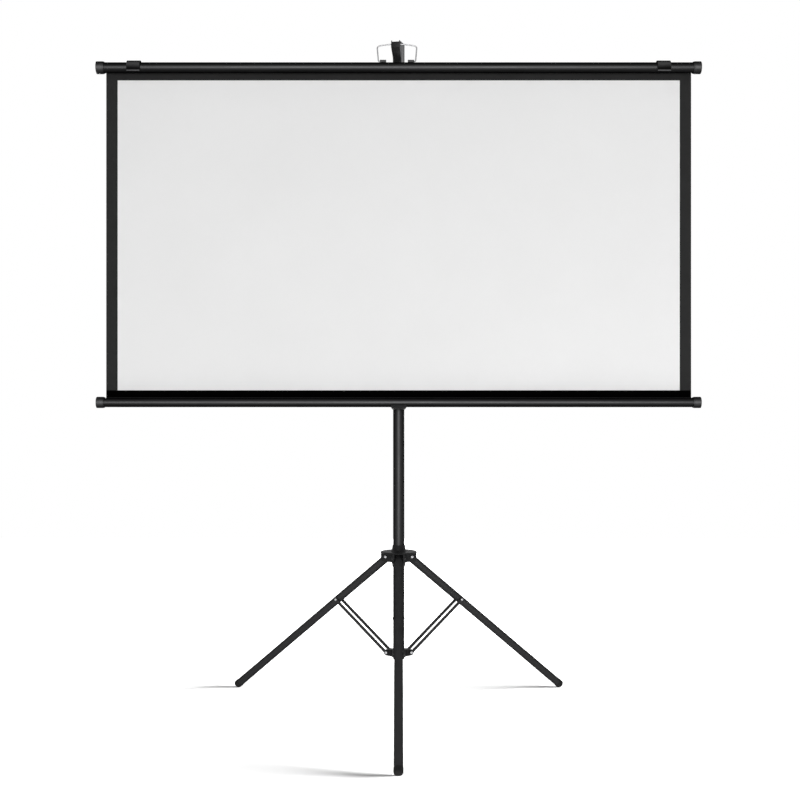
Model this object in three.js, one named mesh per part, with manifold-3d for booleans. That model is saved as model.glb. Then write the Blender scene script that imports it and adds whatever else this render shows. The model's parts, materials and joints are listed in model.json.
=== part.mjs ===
// Tripod projection screen: a fabric screen hung between two tubes on a telescopic pole with three
// folding legs. Millimetres, +Z up, front of the screen towards -Y, feet on z = 0.
import * as THREE from 'three';
import { mergeVertices } from 'three/addons/utils/BufferGeometryUtils.js';
import Module from 'manifold-3d';

// Driving dimensions
const GAP = 0.3;
const CHAMFER = 1;
const CUT_REACH = 30;
const OVERLAP = 2.4;
const TUBE_SIDES = 30;
const TURNED_SIDES = 20;
const SMALL_SIDES = 10;
const POLE_Y = 119.42;

const POLE_RADIUS = 13.4;
const POLE_BORE = 12;
const POLE_BOTTOM_Z = 130;
const POLE_TOP_Z = 756.7;
const PLUG_RIM = 4;
const PLUG_DEPTH = 12;
const MAST_RADIUS = 10;
const MAST_BORE = 8.7;
const MAST_BOTTOM_Z = 650;
const MAST_TOP_Z = 1569.7;
const BUSHING_BORE = 5;
const BUSHING_HEAD = 8;
const BUSHING_TAIL = 14;

const OPEN_ANGLE = THREE.MathUtils.degToRad(51.4);
const LINK = 184;
const PIVOT_RADIUS = 28.5;
const HUB_PIVOT_Z = 369.4;
const LEG_RADIUS = 9.5;
const LEG_BORE = 8.3;
const LEG_TOP = 4;
const FOOT_RADIUS = 10.8;
const FOOT_ROUND = 3;
const FOOT_FLAT = 2;
const FOOT_SKIRT = 14;
const FOOT_WALL = 5;
const LEG_AZIMUTHS = { front: -90, rear_left: 150, rear_right: 30 };

const RIVET_RADIUS = 2;
const RIVET_HEAD = 3.7;
const RIVET_RISE = 1.8;
const RIVET_DOME = [[1, 0], [0.72, 0.7], [0.17, 1]];
const STRIP_THICKNESS = 2;
const STRIP_WIDTH = 7.8;
const STRIP_EYE = 5.3;
const STRIP_SIDE = LEG_RADIUS + 0.6;

const HUB_SLEEVE = 16.9;
const HUB_DISC_RADIUS = 44;
const HUB_DISC_Z = 10.5;
const HUB_DISC_THICKNESS = 3.5;
const HUB_NECK_Z = 29;
const HUB_FOOT_Z = -23;
const HUB_FILLET = 3;
const HUB_LIP = 1.2;
const CLEVIS_SIDE = LEG_RADIUS + 0.5;
const CLEVIS_THICKNESS = 4.5;
const CLEVIS_REACH = 12.8;
const CLEVIS_DEPTH = 12;
const CLEVIS_ROUND = 8;
const CLEVIS_ROOT = 6;
const BOSS_RADIUS = 8;
const BOSS_LENGTH = 8;
const COLLAR_HEIGHT = 17;
const COLLAR_RADIUS = 17.2;
const LUG_EYE = 7.5;
const SET_SCREW_RADIUS = 2.5;
const SET_SCREW_HEAD = 4.2;
const SET_SCREW_GRIP = 5;
const SET_SCREW_LENGTH = 7.2;

const KNOB_RADIUS = 11.96;
const KNOB_LENGTH = 15;
const KNOB_LOBES = 6;
const KNOB_LOBE_DEPTH = 0.09;
const KNOB_LOBE_POINTS = 6;
const KNOB_NECK = 7.5;
const KNOB_NECK_LENGTH = 5;
const KNOB_CROWN = 3;
const KNOB_STAND_OFF = 1.5;
const SCREW_RADIUS = 3;
const HUB_SCREW_DROP = 15;
const MAST_SCREW_Z = 744;

const HALF_WIDTH = 712.6;
const CAP_LENGTH = 18.3;
const CAP_WALL = 2.5;
const CAP_STEP = 0.6;
const CAP_LIP = 2.4;
const CAP_ROUND = 1.5;
const TOP_TUBE_RADIUS = 12.5;
const TOP_CAP_RADIUS = 14.7;
const TOP_Y = -36;
const TOP_Z = 1528.6;
const BOTTOM_TUBE_RADIUS = 11.2;
const BOTTOM_CAP_RADIUS = 13.3;
const BOTTOM_Z = 738.9;
const TUBE_WALL = 1.2;

const FABRIC_HALF = 693.3;
const FABRIC_THICKNESS = 0.7;
const FABRIC_TOP = 2;
const VIEW_HALF = 666.2;
const VIEW_TOP_Z = 1502.1;
const VIEW_BOTTOM_Z = 767.5;
const VIEW_THICKNESS = 0.3;
const HEM_BOTTOM_Z = 751;
const FABRIC_FRONT = TOP_Y + TOP_TUBE_RADIUS + GAP;
const FABRIC_BACK = FABRIC_FRONT + FABRIC_THICKNESS;
const BOTTOM_Y = FABRIC_FRONT - GAP - BOTTOM_TUBE_RADIUS;

const BATTEN_THICKNESS = 2;
const BATTEN_HEIGHT = 11;
const BATTEN_DROP = 3.5;
const BATTEN_RIVETS = [-600, -200, 200, 600];
const BATTEN_RIVET_RADIUS = 1.6;
const BATTEN_RIVET_HEAD = 3.2;
const BATTEN_RIVET_RISE = 1.4;
const BATTEN_RIVET_TAIL = 2.5;

const CRADLE_RADIUS = 12;
const CRADLE_OUTER = 15.5;
const CRADLE_BOTTOM_Z = 722;
const COLLAR_SLEEVE = 17.6;
const COLLAR_TOP_Z = 768;
const COLLAR_TAPER = 4;
const CRADLE_FOOT_HALF = 13;
const CRADLE_SIDE_HALF = 16;
const CRADLE_FLARE_HALF = 20.5;
const CRADLE_FLARE_Z = [2, 5, 7, 13];
const CRADLE_LIP_DEGREES = 205;
const CRADLE_REAR_DEGREES = 340;

const HOOK_TURN = THREE.MathUtils.degToRad(-9);
const HOOK_RADIUS = 14;
const HOOK_BOTTOM_Z = 1512;
const HOOK_TOP_Z = 1599;
const HOOK_PIN_Z = 1524;
const NOTCH_WIDTH = 12.6;
const NOTCH_ROUND = 3;
const NOTCH_ARCH_DROP = 0.9;
const LIP_WIDTH = 21.6;
const LIP_RISE = 5;
const LIP_THICKNESS = 6;
const LIP_STRAIGHT = 12;
const ARM_DROP = 6;
const ARM_ROOT = 11;
const ARM_FOOT_HALF = 8.5;
const GUSSET_DROP = 22;
const HOOK_DOME = 9;
const EAR_WIDTH = 3;
const EAR_RISE = 4.2;
const EAR_DEPTH = 4.5;

const WIRE_RADIUS = 1.6;
const BAIL_X = -4;
const BAIL_APEX_Z = 1584;
const BAIL_SHOULDER_Z = 1579;
const BAIL_HALF = 47;
const BAIL_FOOT_HALF = 43;
const BAIL_PIN_GRIP = 3;
const BAIL_PIN_RISE = 2.6;
const BAIL_PIN_Z = TOP_Z + TOP_TUBE_RADIUS + BAIL_PIN_RISE;
const BAIL_FOOT_BEND = [[-1.6, 0], [1, 0], [1.3, 4]];
const BAIL_SHOULDER_BEND = [[-0.6, -7], [0.4, 0], [-7, 1.2]];
const BRACKET_INNER = 25.5;
const BRACKET_WIDTH = 15;
const BRACKET_HALF_DEPTH = 5;
const BRACKET_CROWN = 2.6;
const STUD_RADIUS = 2.5;
const STUD_FOOT = 8.5;
const BAIL_STEPS = 60;
const CLIP_X = 624;
const CLIP_WIDTH = 31;
const CLIP_RADIUS = 16.5;
const CLIP_REAR_DEGREES = 15;
const CLIP_FRONT_DEGREES = 219;

const wasm = await Module();
wasm.setup();

// Finishes
const finish = (color, roughness, metalness) =>
  new THREE.MeshStandardMaterial({ color, roughness, metalness });
const finishes = {
  blackTube: () => finish(0x2a2a2c, 0.38, 0.5),
  leg: () => finish(0x262628, 0.45, 0.4),
  moulding: () => finish(0x1c1c1e, 0.55, 0.0),
  rubber: () => finish(0x161616, 0.85, 0.0),
  steel: () => finish(0xc4c4c6, 0.28, 1.0),
  fabric: () => finish(0x2b2b2b, 0.8, 0.0),
  hem: () => finish(0x080808, 0.7, 0.0),
  white: () => finish(0xe9e9e9, 0.9, 0.0),
};

// Solids
const signedVolume = (points, triangles) => {
  const [a, b, c] = [new THREE.Vector3(), new THREE.Vector3(), new THREE.Vector3()];
  let six = 0;
  for (let i = 0; i < triangles.length; i += 3) {
    a.fromArray(points, triangles[i] * 3);
    b.fromArray(points, triangles[i + 1] * 3);
    c.fromArray(points, triangles[i + 2] * 3);
    six += a.dot(b.cross(c));
  }
  return six / 6;
};

const toSolid = (geometry) => {
  const bare = geometry.clone();
  for (const name of ['normal', 'uv']) bare.deleteAttribute(name);
  const merged = mergeVertices(bare, 1e-4);
  const vertProperties = new Float32Array(merged.attributes.position.array);
  const triVerts = new Uint32Array(merged.index.array);
  if (signedVolume(vertProperties, triVerts) < 0) triVerts.reverse();
  return new wasm.Manifold(new wasm.Mesh({ numProp: 3, vertProperties, triVerts }));
};

const toGeometry = (solid) => {
  const { vertProperties, triVerts } = solid.getMesh();
  const geometry = new THREE.BufferGeometry();
  geometry.setAttribute('position', new THREE.BufferAttribute(new Float32Array(vertProperties), 3));
  geometry.setIndex(new THREE.BufferAttribute(new Uint32Array(triVerts), 1));
  geometry.computeVertexNormals();
  return geometry;
};

const join = (first, ...others) => {
  const solid = others.reduce((sum, other) => sum.add(toSolid(other)), toSolid(first));
  return toGeometry(solid);
};

const cut = (first, ...tools) => {
  const solid = tools.reduce((rest, tool) => rest.subtract(toSolid(tool)), toSolid(first));
  return toGeometry(solid);
};

const common = (first, second) => toGeometry(toSolid(first).intersect(toSolid(second)));

// Revolved about Z from [radius, z] pairs; the profile closes on itself when it stays off the axis
const revolve = (pairs, segments = TURNED_SIDES) => {
  const offAxis = pairs[0][0] > 0;
  const profile = offAxis ? [...pairs, pairs[0]] : pairs;
  const points = profile.map(([radius, z]) => new THREE.Vector2(radius, z));
  return new THREE.LatheGeometry(points, segments).rotateX(Math.PI / 2);
};

const rod = (radius, from, to, segments = SMALL_SIDES) =>
  revolve([[0, from], [radius, from], [radius, to], [0, to]], segments);
const tube = (outer, inner, from, to, segments = TUBE_SIDES) =>
  revolve([[inner, from], [outer, from], [outer, to], [inner, to]], segments);
const alongX = (geometry) => geometry.rotateY(Math.PI / 2);
const alongY = (geometry) => geometry.rotateX(-Math.PI / 2);
const block = (x0, x1, y0, y1, z0, z1) => {
  const box = new THREE.BoxGeometry(x1 - x0, y1 - y0, z1 - z0);
  return box.translate((x0 + x1) / 2, (y0 + y1) / 2, (z0 + z1) / 2);
};

const outline = (pairs) => new THREE.Shape(pairs.map(([u, v]) => new THREE.Vector2(u, v)));
const arc = (u, v, radius, fromDegrees, toDegrees, steps) =>
  Array.from({ length: steps + 1 }, (_, i) => {
    const angle = THREE.MathUtils.degToRad(fromDegrees + ((toDegrees - fromDegrees) * i) / steps);
    return [u + radius * Math.cos(angle), v + radius * Math.sin(angle)];
  });
const extrude = (pairs, depth) => new THREE.ExtrudeGeometry(outline(pairs), { depth, bevelEnabled: false });

// A side view drawn in (y, z), as thick as given along X and centred on x = 0
const sideProfile = (pairs, thickness) =>
  extrude(pairs, thickness).rotateX(Math.PI / 2).rotateZ(Math.PI / 2).translate(-thickness / 2, 0, 0);
// A front view drawn in (x, z), running along Y from y0 to y1
const frontProfile = (pairs, y0, y1) => extrude(pairs, y1 - y0).rotateX(Math.PI / 2).translate(0, y1, 0);

const part = new THREE.Group();
const poleFrame = new THREE.Group();
poleFrame.position.y = POLE_Y;
part.add(poleFrame);

const piece = (name, geometry, material, parent = poleFrame) => {
  const mesh = new THREE.Mesh(geometry, material);
  mesh.name = name;
  parent.add(mesh);
};

// Rivet along Y with a domed head at each end, its heads seated on faces at y = -side and y = side
const rivet = (side) => {
  const dome = (sign) => {
    const seat = side + GAP / 2;
    return RIVET_DOME.map(([width, rise]) => [RIVET_HEAD * width, sign * (seat + RIVET_RISE * rise)]);
  };
  const lower = dome(-1).reverse();
  const upper = dome(1);
  const profile = [
    [0, lower[0][1]],
    ...lower,
    [RIVET_RADIUS, lower[2][1]],
    [RIVET_RADIUS, upper[0][1]],
    ...upper,
    [0, upper[2][1]],
  ];
  return alongY(revolve(profile, SMALL_SIDES));
};

const pinBore = (x, z) => alongY(rod(RIVET_RADIUS + GAP, -CUT_REACH, CUT_REACH)).translate(x, 0, z);

// Lobed hand knob along Y with a blind bore for its screw
const knob = (fromY) => {
  const points = KNOB_LOBES * KNOB_LOBE_POINTS;
  const lobed = Array.from({ length: points }, (_, i) => {
    const angle = (i / points) * Math.PI * 2;
    const radius = KNOB_RADIUS * (1 + KNOB_LOBE_DEPTH * Math.cos(KNOB_LOBES * angle));
    return [radius * Math.cos(angle), radius * Math.sin(angle)];
  });
  const neckTop = fromY + KNOB_NECK_LENGTH;
  const grip = frontProfile(lobed, neckTop, fromY + KNOB_LENGTH);
  const rise = neckTop + CHAMFER / 2;
  const neck = alongY(revolve([[0, fromY], [KNOB_NECK, fromY], [KNOB_NECK + 2 * CHAMFER, rise], [0, rise]]));
  const bore = alongY(rod(SCREW_RADIUS + GAP, fromY - 1, fromY + KNOB_LENGTH - KNOB_CROWN));
  return cut(join(grip, neck), bore);
};
const lockScrew = (fromY, toY) => {
  const tip = [[0, fromY], [SCREW_RADIUS - CHAMFER, fromY], [SCREW_RADIUS, fromY + CHAMFER]];
  return alongY(revolve([...tip, [SCREW_RADIUS, toY], [0, toY]], SMALL_SIDES));
};

// Outer pole, its end plug and the fixed brace collar
const collarPinZ = HUB_PIVOT_Z - 2 * LINK * Math.cos(OPEN_ANGLE);
const collarLowZ = collarPinZ - COLLAR_HEIGHT / 2;
const collarHighZ = collarPinZ + COLLAR_HEIGHT / 2;

const mastScrewHole = alongY(rod(SCREW_RADIUS + GAP, 0, CUT_REACH)).translate(0, 0, MAST_SCREW_Z);
piece(
  'outer_pole',
  cut(tube(POLE_RADIUS, POLE_BORE, POLE_BOTTOM_Z, POLE_TOP_Z), mastScrewHole),
  finishes.blackTube(),
);
piece(
  'pole_end_plug',
  revolve([
    [0, POLE_BOTTOM_Z - PLUG_RIM],
    [POLE_RADIUS - CHAMFER, POLE_BOTTOM_Z - PLUG_RIM],
    [POLE_RADIUS, POLE_BOTTOM_Z - PLUG_RIM + CHAMFER],
    [POLE_RADIUS, POLE_BOTTOM_Z - GAP],
    [POLE_BORE - GAP, POLE_BOTTOM_Z - GAP],
    [POLE_BORE - GAP, POLE_BOTTOM_Z + PLUG_DEPTH - CHAMFER],
    [POLE_BORE - GAP - CHAMFER, POLE_BOTTOM_Z + PLUG_DEPTH],
    [0, POLE_BOTTOM_Z + PLUG_DEPTH],
  ]),
  finishes.moulding(),
);

const legFrames = Object.entries(LEG_AZIMUTHS).map(([place, azimuth]) => {
  const frame = new THREE.Group();
  frame.rotation.z = THREE.MathUtils.degToRad(azimuth);
  poleFrame.add(frame);
  return { place, azimuth, frame };
});
const turned = (geometry, azimuth) => geometry.rotateZ(THREE.MathUtils.degToRad(azimuth));

const lugOutline = [
  [COLLAR_RADIUS - OVERLAP, collarLowZ],
  ...arc(PIVOT_RADIUS, collarPinZ, LUG_EYE, -90, 90, 8),
  [COLLAR_RADIUS - OVERLAP, collarHighZ],
];
const lug = () => frontProfile(lugOutline, -(STRIP_SIDE - GAP), STRIP_SIDE - GAP);
const collarSleeve = tube(COLLAR_RADIUS, POLE_RADIUS + GAP, collarLowZ, collarHighZ);
const setScrewBore = alongY(rod(SET_SCREW_RADIUS + GAP, POLE_RADIUS, CUT_REACH)).translate(0, 0, collarPinZ);
const lugged = join(collarSleeve, ...legFrames.map(({ azimuth }) => turned(lug(), azimuth)));
piece(
  'brace_collar',
  cut(
    lugged,
    rod(POLE_RADIUS + GAP, collarLowZ - CUT_REACH, collarHighZ + CUT_REACH, TUBE_SIDES),
    setScrewBore,
    ...legFrames.map(({ azimuth }) => turned(pinBore(PIVOT_RADIUS, collarPinZ), azimuth)),
  ),
  finishes.moulding(),
);
const setScrew = revolve(
  [
    [0, 0],
    [SET_SCREW_RADIUS, 0],
    [SET_SCREW_RADIUS, SET_SCREW_GRIP],
    [SET_SCREW_HEAD, SET_SCREW_GRIP],
    [SET_SCREW_HEAD, SET_SCREW_LENGTH - CHAMFER],
    [SET_SCREW_HEAD - CHAMFER, SET_SCREW_LENGTH],
    [0, SET_SCREW_LENGTH],
  ],
  SMALL_SIDES,
);
piece(
  'collar_set_screw',
  alongY(setScrew).translate(0, POLE_RADIUS + GAP, collarPinZ),
  finishes.steel(),
);

// Legs, feet and braces, each drawn in its own radial plane with X outwards
const legPin = {
  x: PIVOT_RADIUS + LINK * Math.sin(OPEN_ANGLE),
  z: HUB_PIVOT_Z - LINK * Math.cos(OPEN_ANGLE),
};
const alongLeg = (geometry) =>
  geometry.rotateY(-OPEN_ANGLE).translate(PIVOT_RADIUS, 0, HUB_PIVOT_Z);
const footDrop = (FOOT_RADIUS - FOOT_ROUND) * Math.sin(OPEN_ANGLE) + FOOT_ROUND - FOOT_FLAT;
const footEnd = (HUB_PIVOT_Z - footDrop) / Math.cos(OPEN_ANGLE) + FOOT_ROUND;
const legEnd = footEnd - FOOT_WALL;

const legTube = () => {
  const shell = alongLeg(tube(LEG_RADIUS, LEG_BORE, -legEnd, LEG_TOP, TURNED_SIDES));
  return cut(shell, pinBore(PIVOT_RADIUS, HUB_PIVOT_Z), pinBore(legPin.x, legPin.z));
};

const footCap = () => {
  const skirt = footEnd - FOOT_SKIRT;
  const rounded = arc(FOOT_RADIUS - FOOT_ROUND, -footEnd + FOOT_ROUND, FOOT_ROUND, -90, 0, 4);
  const cap = revolve(
    [
      [0, -footEnd],
      ...rounded,
      [FOOT_RADIUS, -skirt - CHAMFER],
      [FOOT_RADIUS - CHAMFER, -skirt],
      [LEG_RADIUS + GAP, -skirt],
      [LEG_RADIUS + GAP, -legEnd - GAP],
      [0, -legEnd - GAP],
    ],
    TURNED_SIDES,
  );
  const reach = 2 * LINK;
  const ground = block(legPin.x, legPin.x + 2 * reach, -CUT_REACH, CUT_REACH, -CUT_REACH, 0);
  return cut(alongLeg(cap), ground);
};

const braceStrip = (side) => {
  const rise = legPin.z - collarPinZ;
  const run = legPin.x - PIVOT_RADIUS;
  const length = Math.hypot(rise, run);
  const half = STRIP_WIDTH / 2;
  const shoulder = Math.sqrt(STRIP_EYE ** 2 - half ** 2);
  const eyeTurn = THREE.MathUtils.radToDeg(Math.asin(half / STRIP_EYE));
  const strip = frontProfile(
    [
      ...arc(length, 0, STRIP_EYE, -180 + eyeTurn, 180 - eyeTurn, 9),
      [shoulder, half],
      ...arc(0, 0, STRIP_EYE, eyeTurn, 360 - eyeTurn, 9).slice(1),
    ],
    0,
    STRIP_THICKNESS,
  );
  const bored = cut(strip, pinBore(0, 0), pinBore(length, 0));
  bored.rotateY(-Math.atan2(rise, run)).translate(PIVOT_RADIUS, 0, collarPinZ);
  return bored.translate(0, side > 0 ? STRIP_SIDE : -STRIP_SIDE - STRIP_THICKNESS, 0);
};

for (const { place, frame } of legFrames) {
  piece(`leg_${place}`, legTube(), finishes.leg(), frame);
  piece(`foot_cap_${place}`, footCap(), finishes.rubber(), frame);
  piece(`brace_strip_${place}_a`, braceStrip(-1), finishes.leg(), frame);
  piece(`brace_strip_${place}_b`, braceStrip(1), finishes.leg(), frame);
  const braceSide = STRIP_SIDE + STRIP_THICKNESS;
  const hubSide = CLEVIS_SIDE + CLEVIS_THICKNESS;
  const collarRivet = rivet(braceSide).translate(PIVOT_RADIUS, 0, collarPinZ);
  piece(`collar_rivet_${place}`, collarRivet, finishes.steel(), frame);
  const legRivet = rivet(braceSide).translate(legPin.x, 0, legPin.z);
  piece(`leg_rivet_${place}`, legRivet, finishes.steel(), frame);
  const hubRivet = rivet(hubSide).translate(PIVOT_RADIUS, 0, HUB_PIVOT_Z);
  piece(`hub_rivet_${place}`, hubRivet, finishes.steel(), frame);
}

// Leg hub: a coned sleeve that slides on the pole, a round top flange and three clevises under it
const hubBody = revolve([
  [POLE_RADIUS + GAP, HUB_FOOT_Z],
  [POLE_RADIUS + GAP + HUB_LIP, HUB_FOOT_Z],
  [HUB_SLEEVE, -CLEVIS_DEPTH],
  [HUB_SLEEVE, HUB_DISC_Z],
  [HUB_DISC_RADIUS - CHAMFER, HUB_DISC_Z],
  [HUB_DISC_RADIUS, HUB_DISC_Z + CHAMFER],
  [HUB_DISC_RADIUS, HUB_DISC_Z + HUB_DISC_THICKNESS - CHAMFER],
  [HUB_DISC_RADIUS - 2 * CHAMFER, HUB_DISC_Z + HUB_DISC_THICKNESS],
  [HUB_SLEEVE + HUB_FILLET, HUB_DISC_Z + HUB_DISC_THICKNESS],
  [HUB_SLEEVE, HUB_DISC_Z + HUB_DISC_THICKNESS + HUB_FILLET],
  [POLE_RADIUS + GAP + HUB_LIP, HUB_NECK_Z],
  [POLE_RADIUS + GAP, HUB_NECK_Z],
], TUBE_SIDES);
const clevisOutline = [
  [CLEVIS_ROOT, -CLEVIS_DEPTH],
  ...arc(PIVOT_RADIUS + CLEVIS_REACH - CLEVIS_ROUND, CLEVIS_ROUND - CLEVIS_DEPTH, CLEVIS_ROUND, -90, 0, 5),
  [PIVOT_RADIUS + CLEVIS_REACH, HUB_DISC_Z + CHAMFER],
  [CLEVIS_ROOT, HUB_DISC_Z + CHAMFER],
];
const clevisPlate = (side, azimuth) => {
  const inner = side > 0 ? CLEVIS_SIDE : -CLEVIS_SIDE - CLEVIS_THICKNESS;
  return turned(frontProfile(clevisOutline, inner, inner + CLEVIS_THICKNESS), azimuth);
};
const clevises = legFrames.flatMap(({ azimuth }) => [clevisPlate(-1, azimuth), clevisPlate(1, azimuth)]);
const boss = (fromY, toY) => alongY(rod(BOSS_RADIUS, fromY, toY, TURNED_SIDES));
const hubScrewY = HUB_SLEEVE + BOSS_LENGTH;
const hubBoss = boss(HUB_SLEEVE - OVERLAP, hubScrewY).translate(0, 0, -HUB_SCREW_DROP);
const hubScrewHole = alongY(rod(SCREW_RADIUS + GAP, 0, CUT_REACH)).translate(0, 0, -HUB_SCREW_DROP);
const hubBores = legFrames.map(({ azimuth }) => turned(pinBore(PIVOT_RADIUS, 0), azimuth));
const poleBore = rod(POLE_RADIUS + GAP, HUB_FOOT_Z - CUT_REACH, HUB_NECK_Z + CUT_REACH, TUBE_SIDES);
piece(
  'leg_hub',
  cut(join(hubBody, hubBoss, ...clevises), poleBore, hubScrewHole, ...hubBores).translate(0, 0, HUB_PIVOT_Z),
  finishes.moulding(),
);
const hubKnobY = hubScrewY + KNOB_STAND_OFF;
const hubScrewZ = HUB_PIVOT_Z - HUB_SCREW_DROP;
piece('hub_lock_knob', knob(hubKnobY).translate(0, 0, hubScrewZ), finishes.moulding());
piece(
  'hub_lock_screw',
  lockScrew(POLE_RADIUS + GAP, hubKnobY + KNOB_LENGTH - KNOB_CROWN - GAP).translate(0, 0, hubScrewZ),
  finishes.steel(),
);

// Lock collar on the pole's upper end, with the forward cradle that carries the bottom tube
const collarBody = revolve([
  [POLE_RADIUS + GAP, CRADLE_BOTTOM_Z],
  [COLLAR_SLEEVE - COLLAR_TAPER / 2, CRADLE_BOTTOM_Z],
  [COLLAR_SLEEVE, CRADLE_BOTTOM_Z + COLLAR_TAPER],
  [COLLAR_SLEEVE, COLLAR_TOP_Z - COLLAR_TAPER],
  [COLLAR_SLEEVE - COLLAR_TAPER / 2, COLLAR_TOP_Z],
  [MAST_RADIUS + GAP, COLLAR_TOP_Z],
  [MAST_RADIUS + GAP, POLE_TOP_Z + GAP],
  [POLE_RADIUS + GAP, POLE_TOP_Z + GAP],
], TUBE_SIDES);
const cradleSide = sideProfile(
  [
    ...arc(BOTTOM_Y, BOTTOM_Z, CRADLE_OUTER, CRADLE_LIP_DEGREES, 270, 8),
    [-COLLAR_SLEEVE, CRADLE_BOTTOM_Z],
    [-POLE_RADIUS, CRADLE_BOTTOM_Z],
    [-POLE_RADIUS, BOTTOM_Z - COLLAR_TAPER],
    ...arc(BOTTOM_Y, BOTTOM_Z, CRADLE_RADIUS, CRADLE_REAR_DEGREES, CRADLE_LIP_DEGREES, 14),
  ],
  2 * CUT_REACH,
);
const [flareStart, flareLow, flareHigh, flareEnd] = CRADLE_FLARE_Z.map((rise) => CRADLE_BOTTOM_Z + rise);
const cradleHalf = [
  [CRADLE_FOOT_HALF, CRADLE_BOTTOM_Z - CHAMFER],
  [CRADLE_SIDE_HALF, flareStart],
  [CRADLE_FLARE_HALF, flareLow],
  [CRADLE_FLARE_HALF, flareHigh],
  [CRADLE_SIDE_HALF, flareEnd],
];
const mirrorX = (pairs) => [...pairs].reverse().map(([x, z]) => [-x, z]);
const cradleFront = frontProfile([...cradleHalf, ...mirrorX(cradleHalf)], BOTTOM_Y - CUT_REACH, 0);
const collarScrewY = COLLAR_SLEEVE + BOSS_LENGTH;
const collarBoss = boss(COLLAR_SLEEVE - OVERLAP, collarScrewY).translate(0, 0, MAST_SCREW_Z);
const collarBore = rod(POLE_RADIUS + GAP, CRADLE_BOTTOM_Z - CUT_REACH, POLE_TOP_Z + GAP, TUBE_SIDES);
piece(
  'lock_collar',
  cut(join(collarBody, common(cradleSide, cradleFront), collarBoss), collarBore, mastScrewHole),
  finishes.moulding(),
);
const mastKnobY = collarScrewY + KNOB_STAND_OFF;
piece('mast_lock_knob', knob(mastKnobY).translate(0, 0, MAST_SCREW_Z), finishes.moulding());
piece(
  'mast_lock_screw',
  lockScrew(MAST_RADIUS + GAP, mastKnobY + KNOB_LENGTH - KNOB_CROWN - GAP).translate(0, 0, MAST_SCREW_Z),
  finishes.steel(),
);

// Mast with its bushing and hook, turned a little in the pole as it stands
const mastFrame = new THREE.Group();
mastFrame.rotation.z = HOOK_TURN;
poleFrame.add(mastFrame);
const crossBore = alongX(rod(RIVET_RADIUS + GAP, -CUT_REACH, CUT_REACH)).translate(0, 0, HOOK_PIN_Z);
piece(
  'mast_tube',
  cut(tube(MAST_RADIUS, MAST_BORE, MAST_BOTTOM_Z, MAST_TOP_Z), crossBore),
  finishes.blackTube(),
  mastFrame,
);
piece(
  'mast_bushing',
  revolve([
    [BUSHING_BORE, MAST_BOTTOM_Z - BUSHING_HEAD],
    [POLE_BORE - GAP, MAST_BOTTOM_Z - BUSHING_HEAD],
    [POLE_BORE - GAP, MAST_BOTTOM_Z - GAP],
    [MAST_BORE - GAP, MAST_BOTTOM_Z - GAP],
    [MAST_BORE - GAP, MAST_BOTTOM_Z + BUSHING_TAIL],
    [BUSHING_BORE, MAST_BOTTOM_Z + BUSHING_TAIL],
  ]),
  finishes.moulding(),
  mastFrame,
);
const hookPost = revolve([
  [0, HOOK_BOTTOM_Z],
  [HOOK_RADIUS, HOOK_BOTTOM_Z],
  [HOOK_RADIUS, HOOK_TOP_Z - HOOK_DOME],
  ...arc(HOOK_RADIUS - HOOK_DOME, HOOK_TOP_Z - HOOK_DOME, HOOK_DOME, 15, 90, 5),
  [0, HOOK_TOP_Z],
]);
const notchBottom = BAIL_APEX_Z - NOTCH_ARCH_DROP - WIRE_RADIUS - GAP;
const notchRear = TOP_Y + NOTCH_WIDTH / 2;
const notchFront = TOP_Y - NOTCH_WIDTH / 2;
const lipFront = notchFront - LIP_THICKNESS;
const lipTop = notchBottom + LIP_RISE;
const lipFoot = lipTop - LIP_STRAIGHT;
const armTop = HOOK_TOP_Z - ARM_DROP;
const armFoot = TOP_Z + TOP_TUBE_RADIUS + BAIL_PIN_RISE;
const hookSide = sideProfile(
  [
    [-ARM_ROOT, armTop],
    [notchRear + CHAMFER, armTop],
    [notchRear, armTop - CHAMFER],
    ...arc(notchRear - NOTCH_ROUND, notchBottom + NOTCH_ROUND, NOTCH_ROUND, 0, -90, 4),
    ...arc(notchFront + NOTCH_ROUND, notchBottom + NOTCH_ROUND, NOTCH_ROUND, -90, -180, 4),
    [notchFront, lipTop],
    [lipFront + 2 * CHAMFER, lipTop],
    [lipFront, lipTop - EAR_WIDTH],
    [lipFront + CHAMFER, lipFoot],
    [TOP_Y, lipTop - GUSSET_DROP],
    [-HOOK_RADIUS - EAR_DEPTH, armFoot + NOTCH_ROUND],
    [-ARM_ROOT, armFoot],
  ],
  2 * CUT_REACH,
);
const lipHalf = LIP_WIDTH / 2;
const armHalf = [[ARM_FOOT_HALF, TOP_Z], [lipHalf, lipFoot], [lipHalf, armTop + CHAMFER]];
const hookFront = frontProfile([...armHalf, ...mirrorX(armHalf)], lipFront - CUT_REACH, 0);
const ear = (sign) => {
  const foot = lipTop - EAR_WIDTH;
  const tip = lipTop + EAR_RISE;
  const shape = [[0, foot], [EAR_WIDTH, foot], [EAR_WIDTH - CHAMFER, tip], [CHAMFER / 2, tip]];
  const mirrored = shape.map(([x, z]) => [sign * (lipHalf - x), z]);
  return frontProfile(sign > 0 ? mirrored.reverse() : mirrored, notchFront - EAR_DEPTH, notchFront);
};
piece(
  'top_hook',
  cut(
    join(hookPost, common(hookSide, hookFront), ear(-1), ear(1)),
    rod(MAST_RADIUS + GAP, HOOK_BOTTOM_Z - CUT_REACH, MAST_TOP_Z + GAP, TUBE_SIDES),
    crossBore,
  ),
  finishes.moulding(),
  mastFrame,
);
piece(
  'hook_pin',
  alongX(rod(RIVET_RADIUS, -HOOK_RADIUS, HOOK_RADIUS)).translate(0, 0, HOOK_PIN_Z),
  finishes.steel(),
  mastFrame,
);

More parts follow.
